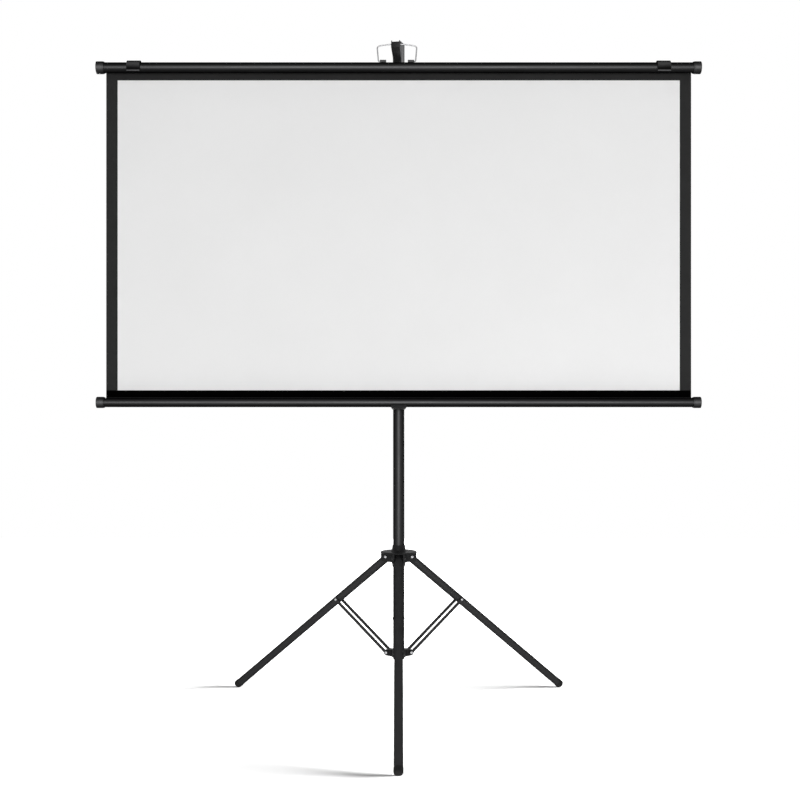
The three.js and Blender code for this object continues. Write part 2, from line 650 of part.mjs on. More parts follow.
// Top tube with its caps, clamp batten, bail brackets, bail and wall clips
const tubeEnd = HALF_WIDTH - CAP_WALL - GAP;
const acrossTube = (geometry, y, z) => alongX(geometry).translate(0, y, z);
const battenY = FABRIC_BACK + GAP;
const battenRivetZ = TOP_Z - BATTEN_DROP;
const battenBores = BATTEN_RIVETS.map((x) =>
  alongY(rod(BATTEN_RIVET_RADIUS + GAP, TOP_Y, 0)).translate(x, 0, battenRivetZ),
);
const bracketAt = (side) => BAIL_X + side * (BRACKET_INNER + BRACKET_WIDTH / 2);
const studBores = [-1, 1].map((side) =>
  rod(STUD_RADIUS + GAP, TOP_Z, TOP_Z + CUT_REACH).translate(bracketAt(side), TOP_Y, 0),
);
const crossTube = (radius, y, z) => acrossTube(tube(radius, radius - TUBE_WALL, -tubeEnd, tubeEnd), y, z);
const topShell = crossTube(TOP_TUBE_RADIUS, TOP_Y, TOP_Z);
piece('top_tube', cut(topShell, ...battenBores, ...studBores), finishes.blackTube());

const endCap = (tubeRadius, capRadius, side) => {
  const cap = revolve(
    [
      [0, HALF_WIDTH - CAP_WALL],
      [tubeRadius + GAP, HALF_WIDTH - CAP_WALL],
      [tubeRadius + GAP, HALF_WIDTH - CAP_LENGTH],
      [capRadius - CAP_STEP, HALF_WIDTH - CAP_LENGTH],
      [capRadius - CAP_STEP, HALF_WIDTH - CAP_LENGTH + CAP_LIP],
      [capRadius, HALF_WIDTH - CAP_LENGTH + CAP_LIP + CAP_STEP],
      [capRadius, HALF_WIDTH - CAP_ROUND],
      [capRadius - CAP_ROUND, HALF_WIDTH],
      [0, HALF_WIDTH],
    ],
    TURNED_SIDES,
  );
  return alongX(side > 0 ? cap : cap.rotateX(Math.PI));
};
for (const [name, side] of [['left', -1], ['right', 1]]) {
  const topCap = endCap(TOP_TUBE_RADIUS, TOP_CAP_RADIUS, side).translate(0, TOP_Y, TOP_Z);
  piece(`top_cap_${name}`, topCap, finishes.moulding());
  const bottomCap = endCap(BOTTOM_TUBE_RADIUS, BOTTOM_CAP_RADIUS, side).translate(0, BOTTOM_Y, BOTTOM_Z);
  piece(`bottom_cap_${name}`, bottomCap, finishes.moulding());

  const bracketTop = BAIL_PIN_Z + BRACKET_CROWN;
  const saddleY = [TOP_Y - BRACKET_HALF_DEPTH, TOP_Y + BRACKET_HALF_DEPTH];
  const saddle = block(-BRACKET_WIDTH / 2, BRACKET_WIDTH / 2, ...saddleY, TOP_Z + STUD_FOOT, bracketTop);
  const stud = rod(STUD_RADIUS, TOP_Z + STUD_FOOT, TOP_Z + TOP_TUBE_RADIUS + CHAMFER).translate(0, TOP_Y, 0);
  const pinHole = alongX(rod(WIRE_RADIUS + 2 * GAP, -CUT_REACH, CUT_REACH)).translate(0, TOP_Y, BAIL_PIN_Z);
  const seat = acrossTube(rod(TOP_TUBE_RADIUS + GAP, -CUT_REACH, CUT_REACH, TUBE_SIDES), TOP_Y, TOP_Z);
  const bracket = cut(join(cut(saddle, seat), stud), pinHole);
  piece(`bail_bracket_${name}`, bracket.translate(bracketAt(side), 0, 0), finishes.moulding());

  const clip = sideProfile(
    [
      ...arc(TOP_Y, TOP_Z, CLIP_RADIUS, CLIP_REAR_DEGREES, CLIP_FRONT_DEGREES, 14),
      ...arc(TOP_Y, TOP_Z, TOP_TUBE_RADIUS + GAP, CLIP_FRONT_DEGREES, CLIP_REAR_DEGREES, 14),
    ],
    CLIP_WIDTH,
  );
  piece(`wall_clip_${name}`, clip.translate(side * CLIP_X, 0, 0), finishes.moulding());
}

piece(
  'clamp_batten',
  cut(
    block(
      -FABRIC_HALF,
      FABRIC_HALF,
      battenY,
      battenY + BATTEN_THICKNESS,
      battenRivetZ - BATTEN_HEIGHT / 2,
      battenRivetZ + BATTEN_HEIGHT / 2,
    ),
    ...battenBores,
  ),
  finishes.blackTube(),
);
const battenRivet = () => {
  const inner = TOP_Y + TOP_TUBE_RADIUS - TUBE_WALL - BATTEN_RIVET_TAIL;
  const seatY = battenY + BATTEN_THICKNESS + GAP / 2;
  const crownY = seatY + BATTEN_RIVET_RISE;
  const shank = [[0, inner], [BATTEN_RIVET_RADIUS, inner], [BATTEN_RIVET_RADIUS, seatY]];
  const head = [[BATTEN_RIVET_HEAD, seatY], [BATTEN_RIVET_HEAD - CHAMFER, crownY - GAP], [0, crownY]];
  return alongY(revolve([...shank, ...head], SMALL_SIDES));
};
BATTEN_RIVETS.forEach((x, i) => {
  piece(`batten_rivet_${i + 1}`, battenRivet().translate(x, 0, battenRivetZ), finishes.steel());
});

const bailCurve = () => {
  const path = new THREE.CurvePath();
  const at = (x, z) => new THREE.Vector3(BAIL_X + x, TOP_Y, z);
  const sides = [-1, 1].map((side) => [
    at(side * (BRACKET_INNER + BAIL_PIN_GRIP), BAIL_PIN_Z),
    ...BAIL_FOOT_BEND.map(([x, z]) => at(side * (BAIL_FOOT_HALF + x), BAIL_PIN_Z + z)),
    ...BAIL_SHOULDER_BEND.map(([x, z]) => at(side * (BAIL_HALF + x), BAIL_SHOULDER_Z + z)),
  ]);
  const [left, right] = sides;
  path.add(new THREE.LineCurve3(left[0], left[1]));
  path.add(new THREE.QuadraticBezierCurve3(left[1], left[2], left[3]));
  path.add(new THREE.LineCurve3(left[3], left[4]));
  path.add(new THREE.QuadraticBezierCurve3(left[4], left[5], left[6]));
  const crown = 2 * BAIL_APEX_Z - left[6].z;
  path.add(new THREE.QuadraticBezierCurve3(left[6], at(0, crown), right[6]));
  path.add(new THREE.QuadraticBezierCurve3(right[6], right[5], right[4]));
  path.add(new THREE.LineCurve3(right[4], right[3]));
  path.add(new THREE.QuadraticBezierCurve3(right[3], right[2], right[1]));
  path.add(new THREE.LineCurve3(right[1], right[0]));
  return path;
};
const wireSection = new THREE.Shape().absarc(0, 0, WIRE_RADIUS, 0, Math.PI * 2);
piece(
  'bail',
  new THREE.ExtrudeGeometry(wireSection, { steps: BAIL_STEPS, curveSegments: 4, extrudePath: bailCurve() }),
  finishes.steel(),
);

// Screen: black fabric, the white viewing surface on its front and the black hem at its foot
piece(
  'screen_fabric',
  cut(
    block(-FABRIC_HALF, FABRIC_HALF, FABRIC_FRONT, FABRIC_BACK, BOTTOM_Z, TOP_Z + FABRIC_TOP),
    ...battenBores,
  ),
  finishes.fabric(),
);
const coatBack = FABRIC_FRONT - GAP;
piece(
  'viewing_surface',
  block(-VIEW_HALF, VIEW_HALF, coatBack - VIEW_THICKNESS, coatBack, VIEW_BOTTOM_Z, VIEW_TOP_Z),
  finishes.white(),
);
piece(
  'bottom_hem',
  block(-FABRIC_HALF, FABRIC_HALF, coatBack - VIEW_THICKNESS, coatBack, HEM_BOTTOM_Z, VIEW_BOTTOM_Z - GAP),
  finishes.hem(),
);
piece('bottom_tube', crossTube(BOTTOM_TUBE_RADIUS, BOTTOM_Y, BOTTOM_Z), finishes.blackTube());

export default part;
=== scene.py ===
import json
from math import asin, atan2, cos, degrees, hypot, pi, radians, sin, tan

import bmesh
import bpy
from mathutils import Matrix, Vector
from mathutils.geometry import tessellate_polygon

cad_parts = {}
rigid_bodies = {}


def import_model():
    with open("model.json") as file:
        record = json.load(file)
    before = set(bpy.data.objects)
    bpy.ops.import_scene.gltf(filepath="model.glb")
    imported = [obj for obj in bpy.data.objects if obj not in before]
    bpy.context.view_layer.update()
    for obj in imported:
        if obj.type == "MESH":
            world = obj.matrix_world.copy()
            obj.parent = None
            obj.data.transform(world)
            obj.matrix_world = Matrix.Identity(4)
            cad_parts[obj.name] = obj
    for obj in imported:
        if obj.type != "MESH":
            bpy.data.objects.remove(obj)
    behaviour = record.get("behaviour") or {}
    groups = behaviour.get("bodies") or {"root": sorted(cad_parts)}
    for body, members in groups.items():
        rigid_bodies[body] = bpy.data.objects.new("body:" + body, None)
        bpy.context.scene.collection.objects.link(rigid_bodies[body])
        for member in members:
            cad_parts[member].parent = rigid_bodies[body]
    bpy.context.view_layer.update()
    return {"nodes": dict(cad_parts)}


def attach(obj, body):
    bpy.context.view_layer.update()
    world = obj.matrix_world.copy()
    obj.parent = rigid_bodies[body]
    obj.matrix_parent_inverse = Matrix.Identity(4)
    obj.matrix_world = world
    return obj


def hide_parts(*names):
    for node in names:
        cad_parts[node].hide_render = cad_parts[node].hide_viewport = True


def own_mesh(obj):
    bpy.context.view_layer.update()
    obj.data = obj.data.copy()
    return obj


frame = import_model()
scene = bpy.context.scene


def shift(x, y, z):
    return Matrix.Translation((x, y, z))


def swing(angle, axis):  # in degrees
    return Matrix.Rotation(radians(angle), 4, axis)


# lengths below are in millimetres, in the pole's own frame, and go to metres when a mesh is laid down
poleAxis = shift(0, 119.42, 0)
toMetres = Matrix.Scale(0.001, 4)
backwards = swing(-90, "X")
sideways = Matrix(((0, 1, 0, 0), (1, 0, 0, 0), (0, 0, 1, 0), (0, 0, 0, 1)))  # for outlines in (y, z)
gap = 0.3  # left between pieces that fit together
bothSides = ((-1, "left"), (1, "right"))


# node helpers
def feed(tree, node, inputs):  # an input is linked to a socket or set to a value
    for label, source in dict(inputs).items():
        if isinstance(source, bpy.types.NodeSocket):
            tree.links.new(source, node.inputs[label])
        else:
            node.inputs[label].default_value = source


def addNode(tree, kind, inputs=(), out=0, **settings):  # gives the new node's output
    node = tree.nodes.new(kind)
    for word, value in settings.items():
        setattr(node, word, value)
    feed(tree, node, inputs)
    return node.outputs[out] if node.outputs else None


def sums(tree, kind, first, second):
    return addNode(tree, "ShaderNodeMath", {0: first, 1: second}, operation=kind)


def axes(tree, vector):
    return addNode(tree, "ShaderNodeSeparateXYZ", {"Vector": vector}).node.outputs


def clearTree(owner):  # of a material or the world
    owner.use_nodes = True
    owner.node_tree.nodes.clear()
    return owner.node_tree


def newFinish(name, make, *settings):
    finish = bpy.data.materials.new(name)
    tree = clearTree(finish)
    addNode(tree, "ShaderNodeOutputMaterial", {"Surface": make(tree, *settings)})
    return finish


def objectPlace(tree):
    return addNode(tree, "ShaderNodeTexCoord", out="Object")


def grain(tree, scale, detail=3.0, roughness=0.5, stretch=(1, 1, 1)):
    drawn = addNode(tree, "ShaderNodeMapping", {"Vector": objectPlace(tree), "Scale": stretch})
    inputs = {"Vector": drawn, "Scale": scale, "Detail": detail, "Roughness": roughness}
    return addNode(tree, "ShaderNodeTexNoise", inputs, "Fac")


def threads(tree, pitch, direction):  # the wave node's phase grows by 20 per unit of scale
    scale = 2 * pi / (20 * pitch)
    inputs = {"Vector": objectPlace(tree), "Scale": scale, "Distortion": 0.6, "Detail": 1.0}
    return addNode(tree, "ShaderNodeTexWave", inputs, "Fac", wave_type="BANDS", bands_direction=direction)


def tone(tree, fac, stops):
    colour = addNode(tree, "ShaderNodeValToRGB", {"Fac": fac})
    marks = colour.node.color_ramp.elements
    while len(marks) < len(stops):
        marks.new(0.5)
    for mark, (at, tint) in zip(marks, stops):
        mark.position = at
        mark.color = (*tint, 1.0)
    return colour


def spread(tree, fac, low, high, fromLow=0.3, fromHigh=0.7):
    inputs = {"Value": fac, "From Min": fromLow, "From Max": fromHigh, "To Min": low, "To Max": high}
    return addNode(tree, "ShaderNodeMapRange", inputs)


def blendTones(tree, fac, ground, colour):  # the mix node's colours are inputs 6 and 7 and output 2
    return addNode(tree, "ShaderNodeMix", {0: fac, 6: ground, 7: (*colour, 1.0)}, 2, data_type="RGBA")


def relief(tree, height, strength, depth):
    return addNode(tree, "ShaderNodeBump", {"Strength": strength, "Distance": depth, "Height": height})


def greys(*stops):  # a hair on the blue side
    return [(at, (value, value, value * 1.02)) for at, value in stops]


# in the skins below, a noise has scale, detail and roughness, a range has what the noise becomes and then
# the part of it that counts, and a relief has strength and depth
shader = "ShaderNodeBsdfPrincipled"
darkRim = (0.02, 0.02, 0.02, 1.0)  # lets the flanks of a metal fall off to black

# drawn aluminium tube with a black satin coat: draw lines, orange peel, pale rubs
tubeSkin = {
    "lines": (900.0, 4.0), "peel": (1600.0, 2.0), "patches": (9.0, 6.0, 0.62), "lineRise": 0.6,
    "rubs": (0.0, 0.4, 0.66, 0.8), "mottle": (-0.04, 0.05), "relief": (0.12, 0.0002)}


def satinTube(tree, along, coat):
    lines = grain(tree, *tubeSkin["lines"], stretch=along)
    patches = grain(tree, *tubeSkin["patches"])
    drawn = tone(tree, lines, greys((0.3, coat["dark"]), (0.7, coat["light"])))
    rubs = spread(tree, patches, *tubeSkin["rubs"])
    satin = spread(tree, lines, coat["smooth"], coat["rough"])
    ridges = sums(tree, "MULTIPLY", lines, tubeSkin["lineRise"])
    height = sums(tree, "ADD", grain(tree, *tubeSkin["peel"]), ridges)
    return addNode(tree, shader, {
        "Base Color": blendTones(tree, rubs, drawn, (coat["rubbed"],) * 3), "Metallic": 1.0,
        "Roughness": sums(tree, "ADD", satin, spread(tree, patches, *tubeSkin["mottle"])),
        "Specular Tint": darkRim, "Normal": relief(tree, height, *tubeSkin["relief"])})


# brushed-on semi-gloss paint over steel tube and strip, with small chips
paintSkin = {
    "flow": (70.0, 5.0), "peel": (1100.0, 2.0), "chips": (240.0, 2.0, 0.4), "bare": (0.0, 0.6, 0.76, 0.8),
    "gloss": (0.62, 0.74), "steel": (0.075, 0.074, 0.072), "rim": (0.1, 0.1, 0.1, 1.0),
    "relief": (0.14, 0.0002)}


def legPaint(tree, coat):
    flow = grain(tree, *paintSkin["flow"])
    paint = tone(tree, flow, greys((0.3, coat["dark"]), (0.7, coat["light"])))
    bare = spread(tree, grain(tree, *paintSkin["chips"]), *paintSkin["bare"])
    return addNode(tree, shader, {
        "Base Color": blendTones(tree, bare, paint, paintSkin["steel"]), "Metallic": 1.0,
        "Roughness": spread(tree, flow, *paintSkin["gloss"]), "Specular Tint": paintSkin["rim"],
        "Normal": relief(tree, grain(tree, *paintSkin["peel"]), *paintSkin["relief"])})


# satin moulding of the end caps and clips: spark-eroded grain with a soft sheen and dark flanks
satinSkin = {
    "pits": (1700.0, 2.0, 0.7), "cloud": (60.0, 5.0), "paintedLightSlope": (0.0, 1.0, -0.5, 1.0),
    "mottle": (-0.03, 0.03), "finer": 0.05, "coarser": 0.06, "relief": (0.2, 0.0002)}


def satinMoulding(tree, tones, gloss, paintedTopLight=False):
    cloud = grain(tree, *satinSkin["cloud"])
    shade = cloud
    if paintedTopLight:  # painted light and shade: lighter on faces that look up, darker on faces that look down, as if lit from above
        up = axes(tree, addNode(tree, "ShaderNodeNewGeometry", out="Normal"))["Z"]
        mottle = spread(tree, cloud, *satinSkin["mottle"])
        shade = sums(tree, "ADD", spread(tree, up, *satinSkin["paintedLightSlope"]), mottle)
    return addNode(tree, shader, {
        "Base Color": tone(tree, shade, tones), "Metallic": 1.0, "Specular Tint": darkRim,
        "Roughness": spread(tree, cloud, gloss - satinSkin["finer"], gloss + satinSkin["coarser"]),
        "Normal": relief(tree, grain(tree, *satinSkin["pits"]), *satinSkin["relief"])})


# spark-eroded black moulding, with paler handled patches
mouldSkin = {
    "pits": (1900.0, 2.0, 0.7), "cloud": (55.0, 5.0), "rubs": (0.0, 0.35, 0.5, 0.75), "finer": 0.06,
    "coarser": 0.07, "relief": (0.22, 0.00025)}


def moulding(tree, dark, light, gloss, level):
    pits = grain(tree, *mouldSkin["pits"])
    cloud = grain(tree, *mouldSkin["cloud"])
    skin = tone(tree, cloud, [(0.3, dark), (0.72, light)])
    return addNode(tree, shader, {
        "Base Color": blendTones(tree, spread(tree, pits, *mouldSkin["rubs"]), skin, light),
        "Roughness": spread(tree, cloud, gloss - mouldSkin["finer"], gloss + mouldSkin["coarser"]),
        "Specular IOR Level": level, "Normal": relief(tree, pits, *mouldSkin["relief"])})


# rubber of the feet: matt, speckled, dusty where it meets the floor
rubberSkin = {
    "dark": (0.009, 0.009, 0.009), "light": (0.016, 0.0157, 0.0153), "dust": (0.024, 0.022, 0.020),
    "bloom": (130.0, 5.0), "pores": (2200.0, 2.0), "dustRise": (0.7, 0.0, 0.0, 0.004),
    "dustPatches": (0.0, 1.0, 0.35, 0.65), "matt": (0.72, 0.9), "level": 0.12, "relief": (0.3, 0.0003)}


def rubber(tree):
    bloom = grain(tree, *rubberSkin["bloom"])
    skin = tone(tree, bloom, [(0.3, rubberSkin["dark"]), (0.7, rubberSkin["light"])])
    low = spread(tree, axes(tree, objectPlace(tree))["Z"], *rubberSkin["dustRise"])
    dusty = sums(tree, "MULTIPLY", low, spread(tree, bloom, *rubberSkin["dustPatches"]))
    return addNode(tree, shader, {
        "Base Color": blendTones(tree, dusty, skin, rubberSkin["dust"]),
        "Roughness": spread(tree, bloom, *rubberSkin["matt"]), "Specular IOR Level": rubberSkin["level"],
        "Normal": relief(tree, grain(tree, *rubberSkin["pores"]), *rubberSkin["relief"])})


# plated rivets, screws, pins and wire, with turning marks and handling haze
plateSkin = {"marks": (2600.0, 3.0), "draw": (1, 1, 0.2), "haze": (420.0, 4.0), "relief": (0.08, 0.0001)}


def plating(tree, dull, bright, smooth, rough):
    marks = grain(tree, *plateSkin["marks"], stretch=plateSkin["draw"])
    return addNode(tree, shader, {
        "Base Color": tone(tree, grain(tree, *plateSkin["haze"]), [(0.3, dull), (0.68, bright)]),
        "Roughness": spread(tree, marks, smooth, rough), "Metallic": 1.0,
        "Normal": relief(tree, marks, *plateSkin["relief"])})


# screen cloth and tape: warp and weft threads with a soft uneven tone
weaveSkin = {
    "weftPitch": 1.12, "cloud": (5.0, 0.6), "furrows": (1.0, 0.0, 0.15, 0.7), "swing": 0.05,
    "sheenRough": 0.5, "depth": 0.0002}


def woven(tree, yarn):
    warp = threads(tree, yarn["pitch"], "X")
    weft = threads(tree, yarn["pitch"] * weaveSkin["weftPitch"], "Z")
    weave = sums(tree, "MULTIPLY", sums(tree, "ADD", warp, weft), 0.5)
    dark, light, furrow = [(yarn[word],) * 3 for word in ("dark", "light", "furrow")]
    ground = tone(tree, grain(tree, yarn["cloud"], *weaveSkin["cloud"]), [(0.25, dark), (0.75, light)])
    # painted shade: the furrows between the threads are painted darker
    shade = sums(tree, "MULTIPLY", spread(tree, weave, *weaveSkin["furrows"]), yarn["threadShade"])
    rough, change = yarn["rough"], weaveSkin["swing"]
    return addNode(tree, shader, {
        "Base Color": blendTones(tree, shade, ground, furrow), "Specular IOR Level": yarn["level"],
        "Roughness": spread(tree, weave, rough + change, rough - change),
        "Sheen Weight": yarn["sheen"], "Sheen Roughness": weaveSkin["sheenRough"],
        "Normal": relief(tree, weave, yarn["relief"], weaveSkin["depth"])})


coats = {
    "cross": {"dark": 0.0040, "light": 0.0054, "rubbed": 0.0070, "smooth": 0.44, "rough": 0.51},
    "pole": {"dark": 0.0125, "light": 0.0165, "rubbed": 0.020, "smooth": 0.46, "rough": 0.54},
    "leg": {"dark": 0.031, "light": 0.041}}
yarns = {
    "border": {
        "pitch": 0.0011, "cloud": 24.0, "dark": 0.0177, "light": 0.0233, "furrow": 0.0085,
        "threadShade": 0.5, "rough": 0.8, "level": 0.12, "sheen": 0.03, "relief": 0.35},
    "white": {
        "pitch": 0.0008, "cloud": 3.0, "dark": 0.790, "light": 0.815, "furrow": 0.74,
        "threadShade": 0.25, "rough": 0.88, "level": 0.15, "sheen": 0.0, "relief": 0.15},
    "hem": {
        "pitch": 0.0009, "cloud": 40.0, "dark": 0.0006, "light": 0.0014, "furrow": 0.0004,
        "threadShade": 0.4, "rough": 0.75, "level": 0.0, "sheen": 0.0, "relief": 0.3}}
hubTones = (0.0065, 0.0065, 0.0068), (0.0125, 0.0125, 0.0128)
bracketTones = (0.045, 0.045, 0.046), (0.07, 0.07, 0.071)
# painted light and shade for the clips: tones by how far a face looks up, dark below and light above
clipPaintedLightTones = greys(
    (0.0, 0.0024), (0.17, 0.004), (0.28, 0.011), (0.39, 0.025), (0.50, 0.045), (0.61, 0.058), (0.72, 0.052),
    (0.90, 0.029), (1.0, 0.024))
topTubeCoat = newFinish("crossTubeCoat", satinTube, (0.004, 1, 1), coats["cross"])
poleCoat = newFinish("poleCoat", satinTube, (1, 1, 0.004), coats["pole"])
legCoat = newFinish("legCoat", legPaint, coats["leg"])
hubMoulding = newFinish("hubMoulding", moulding, *hubTones, 0.5, 0.09)
bracketMoulding = newFinish("bracketMoulding", moulding, *bracketTones, 0.5, 0.2)
capMoulding = newFinish("capMoulding", satinMoulding, greys((0.3, 0.0068), (0.7, 0.0088)), 0.57)
# painted light: the clips are painted lighter on upward faces, and their bead is painted pale as a highlight
clipMouldingPaintedLight = newFinish("clipMouldingPaintedLight", satinMoulding, clipPaintedLightTones, 0.56, True)
clipBeadPaintedHighlight = newFinish("clipBeadPaintedHighlight", satinMoulding, greys((0.3, 0.046), (0.7, 0.056)), 0.5)
footRubber = newFinish("footRubber", rubber)
rivetZinc = newFinish("rivetZinc", plating, (0.26, 0.26, 0.27), (0.44, 0.44, 0.45), 0.2, 0.32)
# painted shade: a dark copy of the rivet zinc, for the front leg's rivets
rivetPaintedShade = newFinish("rivetPaintedShade", plating, (0.012, 0.012, 0.012), (0.03, 0.03, 0.03), 0.4, 0.5)
bailPlate = newFinish("bailPlate", plating, (0.25, 0.25, 0.255), (0.38, 0.38, 0.385), 0.25, 0.35)
borderCloth = newFinish("borderCloth", woven, yarns["border"])
whiteCoat = newFinish("whiteCoat", woven, yarns["white"])
hemTape = newFinish("hemTape", woven, yarns["hem"])
print("finishes mixed:", len(bpy.data.materials))


# outlines and profiles
def arc(u, v, radius, start, end, steps):
    turns = [radians(start + (end - start) * i / steps) for i in range(steps + 1)]
    return [(u + radius * cos(t), v + radius * sin(t)) for t in turns]


def bend(first, control, last, steps, start=1):
    shares = [k / steps for k in range(start, steps + 1)]
    return [first * (1 - t) ** 2 + control * 2 * t * (1 - t) + last * t ** 2 for t in shares]


def eased(points, radius, steps=4, closed=True):  # rounds the corners that turn by more than 20 degrees
    count = len(points)
    out = []
    for i, corner in enumerate(points):
        here = Vector(corner)
        before = Vector(points[i - 1]) - here
        after = Vector(points[(i + 1) % count]) - here
        angle = before.angle(after, 0.0)
        loose = not closed and i in (0, count - 1)
        if loose or min(before.length, after.length) < 1e-6 or angle > radians(160):
            out.append(tuple(here))
            continue
        reach = min(radius / tan(angle / 2), before.length * 0.45, after.length * 0.45)
        first = here + before.normalized() * reach
        last = here + after.normalized() * reach
        out += map(tuple, bend(first, here, last, steps, start=0))
    return out


def pipe(bore, outer, low, high, edge, steps=3):
    return eased([(bore, low), (outer, low), (outer, high), (bore, high)], edge, steps)


def rod(radius, low, high, edge):
    return eased([(0, low), (radius, low), (radius, high), (0, high)], edge, 3, closed=False)


# meshes
def spin(bm, profile, place, steps):  # (radius, height) pairs about Z
    turns = [2 * pi * i / steps for i in range(steps)]
    rings = []
    for radius, height in profile:
        spots = [(radius * cos(t), radius * sin(t), height) for t in turns]
        if radius < 1e-6:
            spots = [(0, 0, height)]
        rings.append([bm.verts.new(place @ Vector(spot)) for spot in spots])
    pairs = list(zip(rings, rings[1:]))
    if len(rings[0]) > 1:
        pairs.append((rings[-1], rings[0]))  # a bored piece closes on itself
    for low, high in pairs:
        for i in range(steps):
            j = (i + 1) % steps
            corners = [low[i % len(low)], low[j % len(low)], high[j % len(high)], high[i % len(high)]]
            bm.faces.new(list(dict.fromkeys(corners)))


def slab(bm, outline, low, high, place, edge, widthAt=None):  # outline in (x, z), thick along y
    def corner(u, v, side):
        reach = (low, high)[side] if widthAt is None else (-1, 1)[side] * widthAt(v)
        return bm.verts.new(place @ Vector((u, reach, v)))

    near = [corner(u, v, 0) for u, v in outline]
    far = [corner(u, v, 1) for u, v in outline]
    count = len(outline)
    walls = []
    for i in range(count):
        j = (i + 1) % count
        walls.append(bm.faces.new((near[i], near[j], far[j], far[i])))
    if widthAt is None:
        lids = [bm.faces.new(near), bm.faces.new(far[::-1])]
    else:  # sides that narrow are split in the outline's own plane
        split = tessellate_polygon([[Vector((u, v, 0)) for u, v in outline]])
        lids = [bm.faces.new([ring[i] for i in three]) for ring in (near, far) for three in split]
    bmesh.ops.recalc_face_normals(bm, faces=walls + lids)
    edges = {e for f in walls for e in f.edges}
    rim = [e for e in edges if len([f for f in e.link_faces if f in walls]) == 1]
    bmesh.ops.bevel(bm, geom=rim, offset=edge, segments=2, profile=0.6, affect="EDGES", clamp_overlap=True)


def cleanFaces(bm, merge):
    bmesh.ops.remove_doubles(bm, verts=bm.verts, dist=merge)
    bmesh.ops.recalc_face_normals(bm, faces=bm.faces)


def endMesh(bm, mesh, smooth):
    bm.to_mesh(mesh)
    bm.free()
    mesh.shade_smooth()
    mesh.set_sharp_from_angle(angle=radians(smooth))


def newObject(name, data):
    piece = bpy.data.objects.new(name, data)
    scene.collection.objects.link(piece)
    return piece


def layDown(name, bm, finish, merge=0.0005):
    cleanFaces(bm, merge)
    bm.transform(toMetres)
    mesh = bpy.data.meshes.new(name)
    endMesh(bm, mesh, 32)
    mesh.materials.append(finish)
    return newObject(name, mesh)


def turned(name, profile, place, steps, finish):
    bm = bmesh.new()
    spin(bm, profile, place, steps)
    return layDown(name, bm, finish)


def settle(piece, body, slotName, *nodes):
    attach(piece, body)
    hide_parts(*nodes)
    return piece


# node trees for what repeats or follows a path
def newTree(name, floats, vectors=()):
    tree = bpy.data.node_groups.new(name, "GeometryNodeTree")
    kinds = {"Geometry": "Geometry", **dict.fromkeys(floats, "Float"), **dict.fromkeys(vectors, "Vector")}
    for label, kind in {**kinds, "Finish": "Material"}.items():
        tree.interface.new_socket(label, in_out="INPUT", socket_type="NodeSocket" + kind)
    tree.interface.new_socket("Geometry", in_out="OUTPUT", socket_type="NodeSocketGeometry")
    return tree, tree.nodes.new("NodeGroupInput").outputs


def closeTree(tree, source, given):  # realise, set the finish, end
    real = addNode(tree, "GeometryNodeRealizeInstances", {"Geometry": source})
    shown = addNode(tree, "GeometryNodeSetMaterial", {"Geometry": real, "Material": given["Finish"]})
    addNode(tree, "NodeGroupOutput", {"Geometry": shown})
    return tree


def bakeTree(piece, tree, values, smooth=40):
    grow = piece.modifiers.new(tree.name, "NODES")
    grow.node_group = tree
    for item in tree.interface.items_tree:
        if item.name in values:
            grow[item.identifier] = values[item.name]
    piece.update_tag()
    bpy.context.view_layer.update()
    plain = bpy.data.meshes.new_from_object(piece.evaluated_get(bpy.context.evaluated_depsgraph_get()))
    piece.modifiers.clear()
    piece.data = plain
    bm = bmesh.new()
    bm.from_mesh(plain)
    cleanFaces(bm, 1e-7)
    endMesh(bm, plain, smooth)
    return piece


def marked(tree, name, kind):
    return addNode(tree, "GeometryNodeInputNamedAttribute", {"Name": name}, "Attribute", data_type=kind)


def rivetTree():  # a shank with two domed heads at each point, along the point's aim
    tree, given = newTree("rivetRow", ["Head Radius", "Head Rise", "Shank Radius", "Half Grip"])
    wide, grip = given["Head Radius"], given["Half Grip"]
    dome = addNode(tree, "GeometryNodeMeshUVSphere", {"Segments": 28, "Rings": 14, "Radius": 1.0})
    sizes = addNode(tree, "ShaderNodeCombineXYZ", {"X": wide, "Y": wide, "Z": given["Head Rise"]})
    shaped = addNode(tree, "GeometryNodeTransform", {"Geometry": dome, "Scale": sizes})
    at = axes(tree, addNode(tree, "GeometryNodeInputPosition"))
    seat = sums(tree, "ADD", sums(tree, "MAXIMUM", at["Z"], 0.0), grip)  # on the outer face of the grip
    flat = addNode(tree, "ShaderNodeCombineXYZ", {"X": at["X"], "Y": at["Y"], "Z": seat})
    head = addNode(tree, "GeometryNodeSetPosition", {"Geometry": shaped, "Position": flat})
    other = addNode(tree, "GeometryNodeTransform", {"Geometry": head, "Rotation": (pi, 0, 0)})
    size = {"Vertices": 24, "Radius": given["Shank Radius"], "Depth": sums(tree, "MULTIPLY", grip, 2.0)}
    shank = addNode(tree, "GeometryNodeMeshCylinder", size)
    whole = addNode(tree, "GeometryNodeJoinGeometry")
    for source in (head, other, shank):
        feed(tree, whole.node, {"Geometry": source})
    aim = marked(tree, "aim", "FLOAT_VECTOR")
    aimed = addNode(tree, "FunctionNodeAlignRotationToVector", {"Vector": aim}, axis="Z")
    spots = {"Points": given["Geometry"], "Instance": whole, "Rotation": aimed}
    return closeTree(tree, addNode(tree, "GeometryNodeInstanceOnPoints", spots), given)


def wireTree():
    tree, given = newTree("bentWire", ["Wire Radius"])
    path = addNode(tree, "GeometryNodeMeshToCurve", {"Mesh": given["Geometry"]})
    size = {"Resolution": 20, "Radius": given["Wire Radius"]}
    section = addNode(tree, "GeometryNodeCurvePrimitiveCircle", size)
    sweep = {"Curve": path, "Profile Curve": section, "Fill Caps": True}
    return closeTree(tree, addNode(tree, "GeometryNodeCurveToMesh", sweep), given)


